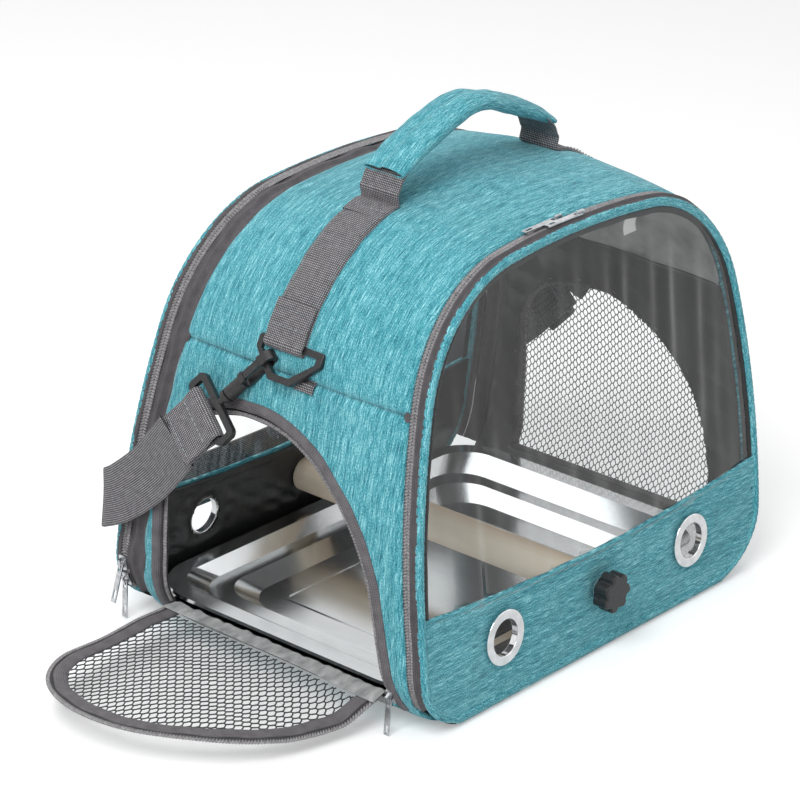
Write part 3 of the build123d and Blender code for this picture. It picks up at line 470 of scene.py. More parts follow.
for end, label in ends:
    run = np.linspace(-outline[0][-1], outline[0][-1], 2800)[:, None]
    turn = np.linspace(0, 2 * math.pi, 15)[None, :]
    tuck_place = (run + 0.0008 * ripple(run, 0 * run, 0.02, 21)) % tuck_pitch - tuck_pitch / 2
    radius = piping_radius * (1 - tuck_share * near(tuck_place, tuck_width))
    grid = along_rim(end, run, piping_depth + radius * np.cos(turn), piping_lift + radius * np.sin(turn))
    piping = swept(f"{label}_piping_cord", grid, run, closed=True)
    dress(piping, f"{label}_panel", teal, "teal_fabric", f"{label}_piping")

# ---------------- Panel zips
# Nylon coil zips join the panels to the cabin.  Each half is a row of slanted coil turns on a
# ribbed grey tape; the tape is folded over the piping's seam on one side and over the cloth's edge
# on the other.
zip_run = run_down_to(0.02)
coil_pitch, coil_width, coil_height = 0.0021, 0.003, 0.0016
coil_depth, coil_lift, tape_thickness = 0.0105, -0.0024, 0.0007


def ribbed_tape(name, light, dark, rib=0.0011, gloss=0.62):
    """Woven tape: fine ribs along and across its run, with a little uneven tone."""
    material = start_material(name, Roughness=gloss, Specular_IOR_Level=0.3, Sheen_Weight=0.05)
    waves = 1 / rib / 3.14  # at scale 1 the wave texture repeats about every 1 / 3.14
    first = pattern(material, "Wave", waves, 1, 1, Distortion=0.3)
    second = pattern(material, "Wave", 1, waves, 1, bands_direction="Y")
    ribs = maths(material, "MULTIPLY_ADD", first, 0.6, second)
    tone = maths(material, "MULTIPLY_ADD", ribs, 0.3, pattern(material, "Noise", 130, 130, 1, Detail=3.0))
    finish(material, tone, ((0.3, dark), (1.0, light)), ribs, 0.6, 0.0004)
    return material


grey_tape = ribbed_tape("grey_tape", (0.115, 0.108, 0.115), (0.055, 0.05, 0.055))
nylon = textured(
    "coil_nylon", "Noise", (500, 500, 1), ((0.3, (0.16, 0.155, 0.16)), (0.7, (0.34, 0.33, 0.34))),
    Roughness=0.3, Specular_IOR_Level=0.5,
)


def coil_section(run, side):
    """Sideways place and height of one half of a coil zip, which lies to side, -1 or 1, of the middle
    line.  The section is half an ellipse whose height swells and sinks once each pitch, along lines
    slanted to the run, so it reads as separate turns."""
    turn = np.linspace(0, math.pi, 7)[None, :]
    across = (1 - np.cos(turn)) / 2
    wave = 0.5 - 0.5 * np.cos(2 * math.pi * (run / coil_pitch + 0.5 * across))
    height = coil_height * np.sin(turn) ** 0.7 * (0.1 + 0.9 * wave)
    return side * (0.00015 + coil_width * across * (0.9 + 0.1 * wave)), height


def coil_steps(first, last):
    """Lengths along a run at five to each coil turn."""
    return np.linspace(first, last, int(abs(last - first) / coil_pitch * 5))[:, None]


for end, label in ends:
    run = coil_steps(-zip_run, zip_run)
    for side, half, body in ((-1, "panel", f"{label}_panel"), (1, "cabin", "bag")):
        across, height = coil_section(run + coil_pitch / 2 * (side > 0), side)
        grid = along_rim(end, run, coil_depth + across, coil_lift + height)
        dress(swept(f"{label}_{half}_coil", grid, run), body, nylon, "zip_tape")
    # tape folded over the seam on the panel's side, starting under the piping
    run = np.linspace(-zip_run, zip_run, 900)[:, None]
    share = np.linspace(0, 1, 14)[None, :]
    waver = 0.0003 * ripple(run, share * 0.004, 0.03, 31)
    depth = piping_depth + 0.007 * share
    fold = np.sin(math.pi * np.clip((depth - 0.0054) / 0.0031, 0, 1))
    grid = along_rim(end, run, depth, -0.0027 + 0.0022 * fold + waver)
    tape = thicken(swept(f"{label}_panel_tape", grid, run), tape_thickness)
    dress(tape, f"{label}_panel", grey_tape, "zip_tape", f"{label}_panel_zip")
    # tape on the cabin's side, wider and with a fold of its own at the back
    width, unevenness = (0.0036, 1) if end < 0 else (0.0175, 3)
    depth = coil_depth + 0.0008 + (width + 0.0026) * share
    lift = -0.0026 + 0.0016 * np.clip((share - 0.3) * 2.2, 0, 1) + waver * unevenness
    if end > 0:
        lift += 0.0022 * near(share - 0.42, 0.16) - 0.0012 * near(share - 0.62, 0.12)
    tape = thicken(swept(f"{label}_cabin_tape", along_rim(end, run, depth, lift), run), tape_thickness)
    dress(tape, "bag", grey_tape, "zip_tape", f"{label}_cabin_zip")

# ---------------- Door frame
# The cut edge of the left wall is bound with grey grosgrain, folded over it and sewn.  Inside the
# binding a dark zip tape with its coil stands towards the door.
frame_grosgrain = ribbed_tape("frame_grosgrain", (0.175, 0.165, 0.175), (0.075, 0.07, 0.076), 0.0016, 0.7)
dark_tape = ribbed_tape("dark_tape", (0.05, 0.047, 0.05), (0.022, 0.02, 0.022), 0.0009, 0.6)
binding_thickness = 0.0006


def wall_trim(name, side, along, profile, waver=0.0):
    """Trim carried round the opening on a wall.  profile holds (inset, lift) pairs from its outer
    edge to its inner edge, and waver moves it in and out a little along its length."""
    inset, lift = np.array(profile).T[:, None, :]
    shift = waver * ripple(along, 0 * along, 0.03, len(name))
    y, z = doorway(along, inset + shift)
    return swept(name, on_wall(side, y, z, lift + 0.3 * shift), along)


along = np.linspace(-0.008, door_round + 0.008, 900)[:, None]
folded = (
    (-0.0122, -0.0012), (-0.0121, 0.0006), (-0.0112, 0.0013), (-0.0085, 0.0015), (-0.0062, 0.0013),
    (-0.0052, 0.0006), (-0.0048, -0.0012), (-0.0052, -0.004), (-0.0062, -0.0056), (-0.0105, -0.0058),
)
binding = thicken(wall_trim("door_frame_grosgrain", -1, along, folded, 0.0003), binding_thickness)
dress(binding, "bag", frame_grosgrain, "binding", "door_frame_binding")
inner = ((-0.0066, -0.0026), (-0.0046, -0.0022), (-0.003, -0.0024), (-0.0012, -0.003), (-0.0004, -0.0036))
tape = thicken(wall_trim("door_frame_tape", -1, along, inner, 0.0004), tape_thickness)
dress(tape, "bag", dark_tape, "zip_tape")
along = coil_steps(0.002, door_round - 0.002)
out_from_middle, height = coil_section(along, 1)
y, z = doorway(along, -0.0007 - out_from_middle)
coil = swept("door_frame_coil", on_wall(-1, y, z, height - 0.0026), along)
dress(coil, "bag", nylon, "zip_tape", "door_frame_zip")

# ---------------- Side window
# The right wall has the same arch, smaller, closed by black knitted net that is caught under a
# grosgrain binding all round.
window_edge, window_foot = 0.006, 0.022
along = np.linspace(window_edge, door_round - window_edge, 700)[:, None]
flat_fold = [(edge + window_edge - 0.001, lift) for edge, lift in (
    (-0.007, -0.0012), (-0.0069, 0.0006), (-0.0058, 0.0012), (-0.0035, 0.0013), (-0.0008, 0.001),
    (0.0008, 0.0003), (0.0012, -0.0012), (0.0006, -0.0036), (-0.0006, -0.0054), (-0.0055, -0.0058),
)]
binding = thicken(wall_trim("window_grosgrain", 1, along, flat_fold, 0.0002), binding_thickness)
dress(binding, "bag", frame_grosgrain, "binding", "window_binding")
feet = (doorway(along)[0] for along in (window_edge, door_round - window_edge))
y = np.linspace(*feet, 300)[:, None]
edge, lift = np.array(flat_fold).T[:, None, :]
foot = swept("window_foot_grosgrain", on_wall(1, y, window_foot + edge, lift + 0.0003), y)
dress(thicken(foot, binding_thickness), "bag", frame_grosgrain, "binding")

net_black = textured(
    "net_black", "Noise", (900, 900, 1), ((0.3, (0.012, 0.016, 0.016)), (0.75, (0.05, 0.062, 0.062))),
    Roughness=0.55, Specular_IOR_Level=0.4, Sheen_Weight=0.1,
)


def net(name, place, low, high, cell, margin, radius=0.00042):
    """Knitted net over a rectangle of y and height, kept where it lies deeper than margin inside the
    door outline.  Each strand is a cosine wave with its crests cut flat and a diamond section, and
    neighbours meet at their crests, which leaves rounded six-sided cells.  place turns y, height and
    lift into a point."""
    y = np.arange(low[0], high[0], cell[0] / 8)
    level = np.arange(low[1], high[1], cell[1] / 2)[:, None]
    wave = np.clip(1.5 * np.cos(2 * math.pi * y / cell[0]), -1, 1) * cell[1] / 4
    height = level + wave * (-1.0) ** np.arange(len(level))[:, None]
    y = y + 0 * height + 0.0003 * ripple(level * 3, y * 3, 0.05, 41)
    slope = np.gradient(height, axis=1) / np.gradient(y, axis=1)
    turn = np.linspace(0, 2 * math.pi, 5)
    off = radius * np.cos(turn) / np.sqrt(1 + slope**2)[..., None]
    strand_y, strand_z = y[..., None] - off * slope[..., None], height[..., None] + off
    grid = place(strand_y, strand_z, radius * np.sin(turn)).reshape(-1, 5, 3)
    keep = inside_door(y, height) > margin
    keep = keep & np.roll(keep, -1, axis=1)
    keep[:, -1] = False
    keep = np.repeat(keep.reshape(-1, 1), 4, axis=1)[:-1]
    strand_length = (y + 7 * level).reshape(-1, 1)  # far apart on the map for each strand
    return weld(lay(name, grid, places(strand_length, turn * radius), keep))


window_net = net(
    "side_window_net", lambda y, z, lift: on_wall(1, y, z, lift - 0.003),
    (-0.112, door_sill), (0.088, 0.182), (0.006, 0.0058), window_edge - 0.002,
)
dress(window_net, "bag", net_black, "net", "window_net")

# ---------------- Window panels
# Clear soft film in the upper part of each end panel, caught between the piping and a black seam
# tape.  It has been folded, so it keeps upright ripples that catch the light.
panel_rim_run = run_down_to(0.06)
film_depth, film_middle = 0.003, 0.066
band_middle, band_radius = 0.0755, 1.7


def panel_point(end, x, z, depth):
    """Place on an end panel at x and height z, depth behind its face."""
    return places(x, end * (end_depth(z) - depth), z)


def band_top(x):
    """Upper edge of the fabric band: a wide circle's lowest part, sweeping up to both sides."""
    return band_middle + band_radius - np.sqrt(band_radius**2 - x**2)


window_clear = bpy.data.materials.new("window_clear")
window_clear.use_nodes = True
window_clear.node_tree.nodes.clear()
crumple = relief(window_clear, pattern(window_clear, "Noise", 90, 24, 1, Detail=5.0), 0.18, 0.002)
gloss = shader_node(window_clear, "BsdfGlossy", Color=(1, 1, 1, 1), Roughness=0.1, Normal=crumple)
through = shader_node(window_clear, "BsdfTransparent", Color=(0.93, 0.95, 0.95, 1))
# thin film mirrors a twentieth head on and far more at a glance, alike from both sides
glance = shader_node(window_clear, "LayerWeight", Blend=0.5).outputs["Facing"]
share = maths(window_clear, "MULTIPLY_ADD", maths(window_clear, "POWER", glance, 4.0), 0.75, 0.06)
film_mix = shader_node(window_clear, "MixShader", i0=share, i1=through.outputs[0], i2=gloss.outputs[0])
shader_node(window_clear, "OutputMaterial", Surface=film_mix.outputs[0])
seam_black = ribbed_tape("seam_black", (0.03, 0.03, 0.032), (0.012, 0.012, 0.013), 0.001, 0.5)

for end, label in ends:
    run = np.linspace(-panel_rim_run, panel_rim_run, 520)[:, None]
    toward_middle = np.linspace(0, 1, 90)[None, :] ** 1.3
    rim = along_rim(end, run, 0, -0.0088)
    x, z = rim[..., 0] * (1 - toward_middle), rim[..., 2] * (1 - toward_middle) + film_middle * toward_middle
    slack = np.clip(toward_middle * 5, 0, 1)
    fold = 0.0009 * ripple(x * 3.2, z * 0.55, 0.09, 51) + 0.0005 * ripple(x * 6, z, 0.09, 52)
    fold += 0.0005 * np.sin(x * 120 + 2.2 * np.sin(z * 22)) * np.clip((x - 0.03) / 0.08, 0, 1)
    grid = panel_point(end, x, z, film_depth - slack * fold)
    film = lay(f"{label}_film", grid, places(x, z), (z > band_top(x) - 0.006)[:-1, :-1])
    dress(film, f"{label}_panel", window_clear, "window_film", f"{label}_window")
    run = np.linspace(-panel_rim_run, panel_rim_run, 900)[:, None]
    inwards = np.linspace(0, 1, 8)[None, :]
    waver = 0.0003 * ripple(run, 0 * run, 0.025, 53)
    depth = 0.0026 - 0.0006 * np.sin(math.pi * inwards)
    grid = along_rim(end, run, depth, -0.0084 - (0.0046 + waver) * inwards)
    seam = thicken(swept(f"{label}_seam_tape", grid, run), binding_thickness)
    dress(seam, f"{label}_panel", seam_black, "binding")

# ---------------- Fabric bands
# The lower part of each panel is a padded band of the melange cloth, backed with black lining, its
# top edge turned in and topstitched.  Two eyelets are pressed through it beside the perch.
hole_x, hole_z, hole_radius, rim_radius = 0.102, 0.0475, 0.0145, 0.019
band_thickness, hem_line = 0.0022, 0.0035
stitch_length, stitch_gap = 0.0028, 0.0011


def band_sheet(end, foot, depth, side_gap, hang):
    """Grid and map of a band from near the ground to its top edge, and the cells outside its round
    holes, at even shares of its height and width.  The eyelets and the knob pull it in."""
    up = np.linspace(0, 1, 44)[None, :]
    level = foot + up * (band_middle - foot)
    x = np.linspace(-1, 1, 210)[:, None] * (arch(run_down_to(level))[0] - side_gap)
    z = level + up**2 * (band_top(x) - band_middle) - hang
    pull = 0.0012 * near(np.hypot(np.abs(x) - hole_x, z - hole_z) - rim_radius, 0.012)
    pull += 0.001 * near(np.hypot(x, z - hole_z), 0.03)
    soft = np.clip(up * 8, 0, 1) * (0.0007 * ripple(x, z, 0.05, 61) + 0.0003 * ripple(x, z * 2, 0.02, 62))
    dip = 0.0006 * near(band_top(x) - hang - z - hem_line, 0.0012)
    grid = panel_point(end, x, z, depth - soft + pull + dip)
    middle = (grid[:-1, :-1] + grid[1:, 1:]) / 2
    keep = np.hypot(np.abs(middle[..., 0]) - hole_x, middle[..., 2] - hole_z) > hole_radius
    return grid, places(x, z), keep


thread = textured(
    "thread", "Wave", (900, 900, 900), ((0.0, (0.2, 0.24, 0.25)), (1.0, (0.42, 0.47, 0.48))),
    source="Object", Roughness=0.7, Specular_IOR_Level=0.3,
)


def read_line(line, run, steps):
    """Points of a line at given lengths, run being the length at each of its own points."""
    return np.stack([np.interp(steps, run, column) for column in line.T], axis=-1)


def unit(vectors):
    """The vectors at a length of 1."""
    return vectors / np.linalg.norm(vectors, axis=-1, keepdims=True)


def stitches(name, line, outwards, body="bag", slot="webbing", width=0.0006):
    """Adds a row of stitches along a line, each a small ridge of four sections: the line is cut into
    equal steps by its length, each as long as a stitch and its gap or a little longer."""
    run = lengths(line)
    count = max(int(run[-1] / (stitch_length + stitch_gap)), 1)
    steps = (np.arange(count) * run[-1] / count)[:, None] + stitch_length * np.array([0, 0.25, 0.75, 1.0])
    middle = read_line(line, run, steps)
    out = read_line(np.broadcast_to(outwards, line.shape), run, steps)
    side = np.cross(unit(middle[:, 3:] - middle[:, :1]), out) * width / 2
    swell = np.array([0.35, 1.0, 1.0, 0.35])[None, :, None]
    top, bottom = middle + out * width * 0.7 * swell, middle - out * width * 0.5
    ring = [middle + side * swell, top, middle - side * swell, bottom]
    quads = [(r + c, r + (c + 1) % 4, r + 4 + (c + 1) % 4, r + 4 + c) for r in (0, 4, 8) for c in range(4)]
    quads += [(3, 2, 1, 0), (12, 13, 14, 15)]
    faces = (np.arange(count)[:, None, None] * 16 + np.array(quads)).reshape(-1, 4)
    row = weld(add_mesh(name, np.stack(ring, axis=2).reshape(-1, 3), faces))
    dress(row, body, thread, slot)


for end, label in ends:
    band = thicken(lay(f"{label}_band_cloth", *band_sheet(end, 0.0016, 0.0014, 0.0072, 0.0)), band_thickness)
    dress(band, f"{label}_panel", teal, "teal_fabric", f"{label}_band")
    lining = thicken(lay(f"{label}_band_back", *band_sheet(end, 0.0024, 0.0044, 0.0078, 0.002)), 0.0009)
    dress(lining, f"{label}_panel", lining_black, "lining", f"{label}_band_lining")
    x = np.linspace(-0.176, 0.176, 400)
    hem = panel_point(end, x, band_top(x) - hem_line, 0.0016)
    stitches(f"{label}_hem_stitches", hem, (0, end, 0.08), f"{label}_panel", "teal_fabric")

# a small blank woven label folded over the seam inside the front panel
label_white = textured(
    "label_white", "Wave", (900, 900, 1), ((0.0, (0.62, 0.62, 0.61)), (1.0, (0.8, 0.8, 0.79))),
    distortion=0.5, Roughness=0.75, Specular_IOR_Level=0.2,
)
x, share = np.linspace(0.046, 0.06, 12)[:, None], np.linspace(0, 1, 14)[None, :]
top = along_rim(-1, 0.055, 0.0, -0.012)[2]
curl = 0.0016 * np.sin(2.4 * share) * (1 + 0.3 * (x - 0.05) / 0.01)
grid = panel_point(-1, x, top - 0.011 * share, 0.0045 + curl)
tag = thicken(lay("seam_label", grid, grid[..., (0, 2)].copy()), 0.0004)
dress(tag, "front_panel", label_white, "binding")

# ---------------- Door flap
# An arched panel of the knitted net with a grosgrain binding and its half of the zip round the edge.
# It is sewn to the sill by a strip of thin grey cloth and lies open on the ground.
net_start = 0.0148  # the solid net begins this far from the hinge
hinge_x, flap_level = -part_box("door_net")[1].x - net_start, 0.0238
droop_height, strip_turn = 0.013, 0.4


def flap(y, z, lift=0.0):
    """Place on the lying flap of a point of the closed door, whose height above the sill becomes its
    distance from the hinge.  The front side droops towards the ground and all of it is uneven."""
    out = np.asarray(z) - door_sill
    front_share, fall = np.clip((-0.005 - y) / 0.085, 0, 1), np.clip(out / 0.035, 0, 1)
    droop = droop_height * front_share**1.5 * fall**2 * (3 - 2 * fall)
    droop = droop * (1 - 0.75 * np.clip((out - 0.075) / 0.075, 0, 1))
    uneven = 0.001 * ripple(np.asarray(y), out, 0.07, 71) * fall
    return places(-hinge_x - out, y, flap_level - droop + uneven + lift)


def flap_trim(name, along, profile, waver):
    """Trim carried round the flap's edge, from (inset, lift) pairs that close on themselves."""
    inset, lift = np.array(profile).T[:, None, :]
    y, z = doorway(along, inset + waver * ripple(along, 0 * along, 0.03, 72))
    return swept(name, flap(y, np.maximum(z, door_sill + 0.0008), lift), along, closed=True)


along = np.linspace(0.0012, door_round - 0.0012, 800)[:, None]
turn = np.linspace(0, 2 * math.pi, 15)
roll = places(0.01 - 0.005 * np.cos(turn), 0.0016 * np.sin(turn) + 0.0002)
binding = flap_trim("door_flap_grosgrain", along, roll, 0.0003)
dress(binding, "door", frame_grosgrain, "binding", "door_binding")
edge_tape = ((0.0018, 0.0002), (0.006, 0.001), (0.006, -0.0008), (0.0018, -0.0006), (0.0018, 0.0002))
tape = flap_trim("door_flap_tape", along, edge_tape, 0.0001)
dress(tape, "door", dark_tape, "zip_tape", "door_zip_half")
along = coil_steps(0.004, door_round - 0.004)
out_from_middle, height = coil_section(along, 1)
y, z = doorway(along, 0.0009 + out_from_middle)
for label, face in (("inner", 1), ("outer", -1)):
    coil = swept(f"door_flap_coil_{label}", flap(y, z, face * height), along)
    dress(coil, "door", nylon, "zip_tape")
low, high, cell = (-0.105, door_sill), (0.088, 0.18), (0.0072, 0.0078)
flap_net = net("door_flap_net", flap, low, high, cell, margin=0.0122, radius=0.00055)
dress(flap_net, "door", net_black, "net", "door_net")

hinge_grey = textured(
    "hinge_grey", "Noise", (150, 70, 1), ((0.3, (0.2, 0.21, 0.21)), (0.7, (0.46, 0.47, 0.47))),
    (0.6, 0.0015), detail=4.0, Roughness=0.55, Specular_IOR_Level=0.35,
)
y, share = np.linspace(-0.101, 0.083, 260)[:, None], np.linspace(0, 1, 30)[None, :]
sewn = on_wall(-1, y, door_sill - 0.009 + 0.0085 * np.clip(share / strip_turn, 0, 1), 0.0008)
lying = flap(y, door_sill + 0.0125 * np.clip((share - strip_turn) / (1 - strip_turn), 0, 1), 0.0021)
grid = np.where((share < strip_turn)[..., None], sewn, lying)
grid[..., 2] += 0.0008 * ripple(y * 2.5, share * 0.02, 0.03, 73) * np.sin(math.pi * share)
strip = thicken(lay("door_hinge_strip", grid, places(y, share * 0.022)), 0.0005)
strip.data.materials.append(hinge_grey)
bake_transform(strip)

# ---------------- Tray, perch and fittings
# The tray is pressed from thin bright steel, the perch is turned from plain softwood, and a moulded
# star knob with a steel stud and a washer clamps it from each side.
def finish_nodes(material, *nodes):
    """Gives hard pieces that keep their own shape their finish."""
    for node in nodes:
        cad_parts[node].material_slots[0].material = material


def bright_metal(name, low, high, rough, streak):
    """Rolled or plated metal: faint streaks in tone and roughness, drawn out along one axis."""
    material = start_material(name, Metallic=1.0)
    cloud = pattern(material, "Noise", *streak, source="Object", Detail=3.0)
    spread = shader_node(material, "MapRange", Value=cloud, To_Min=rough * 0.7, To_Max=rough * 1.4)
    surface(material, Roughness=spread.outputs[0])
    finish(material, cloud, ((0.35, low), (0.65, high)), cloud, 0.08, 0.0003)
    return material


tray_steel = bright_metal("tray_steel", (0.62, 0.63, 0.64), (0.76, 0.77, 0.78), 0.17, (30, 8, 30))
finish_nodes(tray_steel, "tray")
softwood = start_material("softwood", Roughness=0.62, Specular_IOR_Level=0.3)
rings = pattern(softwood, "Wave", 9, 0.6, 12, source="Object", Distortion=4.0, Detail=2.0)
pores = pattern(softwood, "Noise", 900, 30, 900, source="Object", Detail=2.0)
grain = maths(softwood, "MULTIPLY_ADD", pores, 0.5, rings)
finish(softwood, grain, ((0.2, (0.8, 0.62, 0.44)), (1.0, (0.95, 0.84, 0.67))), pores, 0.2, 0.0004)
finish_nodes(softwood, "perch")
plating = bright_metal("plating", (0.7, 0.71, 0.72), (0.84, 0.85, 0.86), 0.12, (160, 160, 160))
finish_nodes(plating, "front_eyelets", "back_eyelets")
zinc_plate = bright_metal("zinc_plate", (0.5, 0.51, 0.53), (0.7, 0.71, 0.73), 0.24, (220, 220, 220))
moulded_black = textured(
    "moulded_black", "Noise", (700, 700, 700), ((0.3, (0.01, 0.01, 0.011)), (0.7, (0.03, 0.03, 0.032))),
    (0.12, 0.0003), source="Object", Roughness=0.34, Specular_IOR_Level=0.5,
)
for _, label in ends:
    finish_nodes(zinc_plate, f"{label}_washer", f"{label}_stud")
    finish_nodes(moulded_black, f"{label}_knob")

# ---------------- Zip sliders
# Cast zinc sliders with long flat pulls, plated bright: two on the front panel's zip, two on the
# back one's and one on the door's.
for zip_name in ("front_left", "front_right", "back_upper", "back_lower", "door"):
    finish_nodes(zinc_plate, f"{zip_name}_slider", f"{zip_name}_pull")

# ---------------- Handle webbing
# Ribbed webbing is sewn down each side of the roof.  It passes round the bar of the strap ring and
# comes up again outside itself, and at the top it rises into the grip.
sides = ((-1, "left"), (1, "right"))
webbing_width, webbing_thickness, handle_foot = 0.032, 0.0021, 0.083
bar_top, bar_down, bar_out = np.array([(0.16562, 0.232), (0.5, -0.866), (0.866, 0.5)])
middle_share = 0.47  # of the way from the front zip to the back zip, where y is about 0
foot_run = np.interp(handle_foot, outline[1][:arc_points], outline[0][:arc_points])

webbing_grey = start_material("webbing_grey", Roughness=0.72, Specular_IOR_Level=0.3, Sheen_Weight=0.08)
waves = 0.314 / 0.0014  # a wave for each 1.4 mm of weave
lengthways = pattern(webbing_grey, "Wave", waves, waves, 1, Distortion=0.4, Detail=1.0)
crossways = pattern(webbing_grey, "Wave", waves, waves, 1, bands_direction="Y", Distortion=0.2)
knuckle = maths(webbing_grey, "MULTIPLY", lengthways, crossways)
cloud = pattern(webbing_grey, "Noise", 250, 250, 1, Detail=3.0)
tone = maths(webbing_grey, "MULTIPLY_ADD", cloud, 0.5, knuckle)
stops = ((0.15, (0.04, 0.038, 0.042)), (0.55, (0.13, 0.125, 0.135)), (1.0, (0.5, 0.49, 0.51)))
finish(webbing_grey, tone, stops, knuckle, 0.7, 0.0005)


def smooth_line(points, count):
    """A line through a few points, as a Catmull-Rom spline read at equal steps of length: the slope at
    a point is half the step from the point before it to the point after it."""
    knots = np.array(points, float)
    padded = np.concatenate([[2 * knots[0] - knots[1]], knots, [2 * knots[-1] - knots[-2]]])
    t = np.linspace(0, 1, 30, endpoint=False)[None, :, None]
    a, b, c, d = (padded[i:i + len(knots) - 1, None] for i in range(4))
    curve = b + (c - a) * t / 2 + (2 * a - 5 * b + 4 * c - d) * t**2 / 2 + (3 * b - a - 3 * c + d) * t**3 / 2
    curve = np.concatenate([curve.reshape(-1, knots.shape[1]), knots[-1:]])
    run = lengths(curve)
    even = np.linspace(0, run[-1], count)
    return read_line(curve, run, even), even


def squared(wave, power):
    """A wave with its size raised to a power below 1, which squares off the oval that it draws."""
    return np.sign(wave) * np.abs(wave) ** power


def ribbon(name, middle, across, width, thickness, run):
    """Webbing carried along a line, its section a squared-off oval of width by thickness.  across is
    the direction of its width, at each place or at all of them."""
    out = unit(np.cross(np.gradient(middle, axis=0), across))
    turn = np.linspace(0, 2 * math.pi, 33)[None, :, None]
    grid = middle[:, None] + across[:, None] * squared(np.cos(turn), 0.6) * width / 2
    grid = grid + out[:, None] * (squared(np.sin(turn), 0.3) * thickness / 2)
    return swept(name, grid, run[:, None], closed=True)


def upright_webbing(name, side, knots, count, *nodes, width=webbing_width, thickness=webbing_thickness, y=0):
    """Adds webbing with its width along Y, through knots of distance from the middle and height."""
    line, length = smooth_line(knots, count)
    middle = places(side * line[:, 0], y, line[:, 1])
    webbing = ribbon(name, middle, np.array([(0.0, 1.0, 0.0)]), width, thickness, length)
    dress(webbing, "bag", webbing_grey, "webbing", *nodes)


def beside_middle(side, run, lift):
    """Distance from the middle and height of the cloth under the handle, at lengths of the outline."""
    return shell(side * np.atleast_1d(run), middle_share, lift)[:, (0, 2)] * (side, 1)


lower_end, top_run = run_down_to(bar_top[1] - 0.004), run_down_to(bar_top[1] + 0.02)
fold_run, bar_run = run_down_to(bar_top[1] + 0.015), run_down_to(bar_top[1] + 0.0065)
for side, label in sides:
    # over the roof and down to the ring, lying on the cloth
    run = np.linspace(foot_run + 0.009, lower_end, 170)[:, None]
    depth = np.linspace(-webbing_width, webbing_width, 15)[None, :] / 2
    edge_drop = 0.0009 * np.abs(2 * depth / webbing_width) ** 8
    grid = on_shell(side * run, depth, webbing_thickness + 0.0002 - edge_drop)
    sewn = thicken(lay(f"{label}_webbing_sewn", grid, places(run, depth)), webbing_thickness)
    dress(sewn, "bag", webbing_grey, "webbing", f"{label}_handle_webbing")
    # round the ring's bar and up again
    lap = beside_middle(side, np.linspace(top_run, run_down_to(bar_top[1] + 0.004), 6), 0.0036)
    bar = [bar_top + (down * bar_down + out * bar_out) for down, out in (
        (0.0002, 0.0063), (0.0035, 0.0066), (0.0058, 0.005), (0.0062, 0.002))]
    knots = [*lap, *bar, *beside_middle(side, lower_end, 0.0012)]
    upright_webbing(f"{label}_webbing_loop", side, knots, 90)
    # up from the roof into the grip
    foot = beside_middle(side, foot_run + np.array([0.022, 0.016, 0.01, 0.005]), 0.0013)
    knots = [*foot, (0.0838, foot[3][1] + 0.0075), (0.0822, 0.316), (0.0785, 0.3228), (0.07, 0.33)]
    upright_webbing(f"{label}_webbing_riser", side, knots, 60)
    # rows of stitching: both long edges, then one across the foot and two that box the fold
    run = np.linspace(foot_run + 0.014, top_run, 300)
    out_x, out_z = arch(side * run)[2:]
    for edge, mark in ends:
        place = on_shell(side * run, edge * 0.0138, webbing_thickness + 0.0004)
        stitches(f"{label}_webbing_edge_stitches_{mark}", place, places(out_x, 0, out_z))
    depth = np.linspace(-0.0135, 0.0135, 40)
    rows = (("foot", foot_run + 0.016, 0.0004), ("fold", fold_run, 0.003), ("bar", bar_run, 0.003))
    for mark, at, height in rows:
        place = on_shell(side * at, depth, webbing_thickness + height)
        stitches(f"{label}_webbing_{mark}_stitches", place, (side * 0.75, 0.0, 0.65))

# ---------------- Handle grip
# A foam core rolled in the melange cloth, its edges lapped along the top, and the cut ends drawn
# over the webbing.
lap_height = 0.0016
half_arch = [(0.0, 0.354), (0.018, 0.3512), (0.04, 0.3435), (0.062, 0.3345), (0.08, 0.3255)]
line, length = smooth_line([(-x, z) for x, z in half_arch[:0:-1]] + half_arch, 260)
along = unit(np.gradient(line, axis=0))
turn = np.linspace(0, 2 * math.pi, 65)[None, :]
run = length[:, None]
from_end = np.minimum(run, length[-1] - run)
full = np.clip(from_end / 0.03, 0, 1) ** 0.6
half_wide = 0.0166 - 0.0012 * full + 0.0006 * ripple(run, 0 * turn, 0.05, 81)
half_thick = 0.0026 + 0.0028 * full
across = squared(np.cos(turn), 0.75) * half_wide
# the near edge laps over the far one: a step and a soft roll along the lap
lap_line = 0.003 + 0.001 * ripple(run, 0 * turn, 0.06, 82)
above = np.clip(np.sin(turn) * 3, 0, 1)
lap_rise = np.clip((lap_line - across) / 0.0016, 0, 1) * np.clip((across + 0.016) / 0.01, 0, 1)
valley = 0.0011 * near(across - lap_line - 0.0012, 0.0022)
lift = squared(np.sin(turn), 0.7) * half_thick + lap_height * lap_rise * above - valley * above
lift += 0.0003 * ripple(run * 1.5, across, 0.02, 83) * np.clip(from_end / 0.01, 0, 1)
grid = places(line[:, :1] - along[:, 1:] * lift, across, line[:, 1:] + along[:, :1] * lift)
grip = swept("grip_cloth", grid, run, closed=True)
dress(thicken(grip, 0.0009), "bag", teal, "teal_fabric", "handle_grip")

